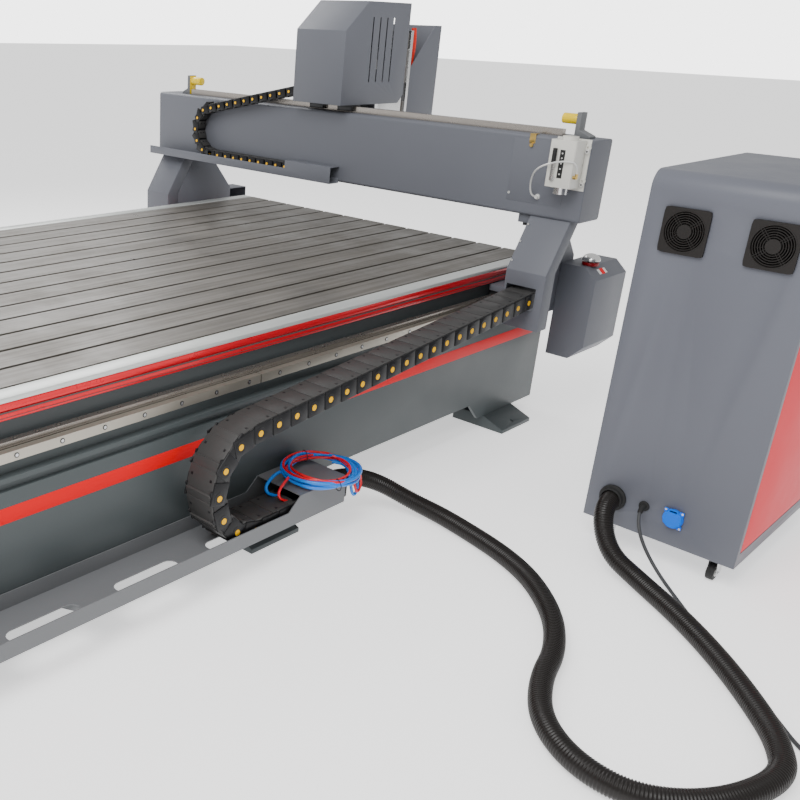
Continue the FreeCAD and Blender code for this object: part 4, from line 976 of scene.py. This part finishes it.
button_low, button_high = reach("stop_button")
button_middle = (button_low + button_high) / 2
DOME_RADIUS, DOME_RIM, DOME_SQUASH = 0.033, -0.004, 0.72
dome = bmesh.new()
ball = bmesh.ops.create_uvsphere(dome, u_segments=36, v_segments=16, radius=DOME_RADIUS)["verts"]
bmesh.ops.delete(dome, geom=[vert for vert in ball if vert.co.z < DOME_RIM], context="VERTS")
bmesh.ops.scale(dome, vec=(1, 1, DOME_SQUASH), verts=dome.verts)
bmesh.ops.contextual_create(dome, geom=[edge for edge in dome.edges if edge.is_boundary])
bmesh.ops.translate(dome, vec=at(button_middle.x, button_middle.y, button_high.z - 15.5), verts=dome.verts)
add_rod(dome, (button_middle.x, button_middle.y, button_low.z), "z", 13.5, 12, sides=24)
wrap = finish("wrapped_silver", (0.75, 0.75, 0.74), rough=0.22, metal=0.9, grain=60, bump=0.9, vary=0.12)
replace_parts(finished(dome, "stop_button_shown", wrap, "stop_button"), "stop_button")
softened("stop_button_base", finish("stop_red", (0.22, 0.0, 0.004), rough=0.35), 1.5)
sticker = bmesh.new()
# The label lies on a sloping face, and away is the direction that the slope looks in.
SLOPE_ACROSS, SLOPE_DOWN = 46, 41
away = Vector((1, 0, SLOPE_ACROSS / SLOPE_DOWN)).normalized()
lean = Matrix.Rotation(-math.atan2(away.z, away.x), 3, "Y")
for half_long, high, material, shift in ((30, 22, 0, 0), (13, 24, 1, 0.3)):
    plate = bmesh.ops.create_cube(sticker, size=1.0)["verts"]
    bmesh.ops.scale(sticker, vec=(0.0006, half_long / 500, high / 1000), verts=plate)
    bmesh.ops.rotate(sticker, cent=(0, 0, 0), matrix=lean, verts=plate)
    bmesh.ops.translate(sticker, vec=at(1054, 1585, 598.5) + away * (0.0002 + shift / 1000), verts=plate)
    colour_faces(plate, material)
finished(sticker, "axis_sticker", [screw_white, stripe_red], "gantry")

# %% [markdown]
# Three red wires hang inside the lift casing behind the hood. The red edge profiles have two
# fine grooves along their side, drawn as thin flat strips of painted shade, not cut in.

# %% Wires and groove shade
wire_red = finish("wire_red", (0.8, 0.03, 0.01), rough=0.35, grain=200, bump=0.03)
# The grooves are flat dark strips: painted shade where the real grooves lie in shadow.
GROOVE_INNER, GROOVE_OUTER = 804.6, 805.4
GROOVES = ((571, 575), (560, 561.5))
for side_name, s in (("left", -1), ("right", 1)):
    groove = bmesh.new()
    edges = sorted((s * GROOVE_INNER, s * GROOVE_OUTER))
    for low_edge, high_edge in GROOVES:
        add_box(groove, (edges[0], -BED_HALF, low_edge), (edges[1], BED_HALF, high_edge), 0.1)
    finished(groove, "profile_groove_shade_" + side_name, groove_shade_paint, "frame")
for number, (x, y) in enumerate(((30, 1690), (36, 1702), (24, 1712))):
    route = [(x, y, 1390), (x + 6, y + 4, 1330), (x - 8, y + 10, 1260), (x + 4, y + 4, 1180),
             (x, y + 8, 1100)]
    line = evenly(smooth_line(route), 0.008)
    tube_along("casing_wire_%d" % (number + 1), line, [0.004] * len(line), 8, wire_red, "z_slide")
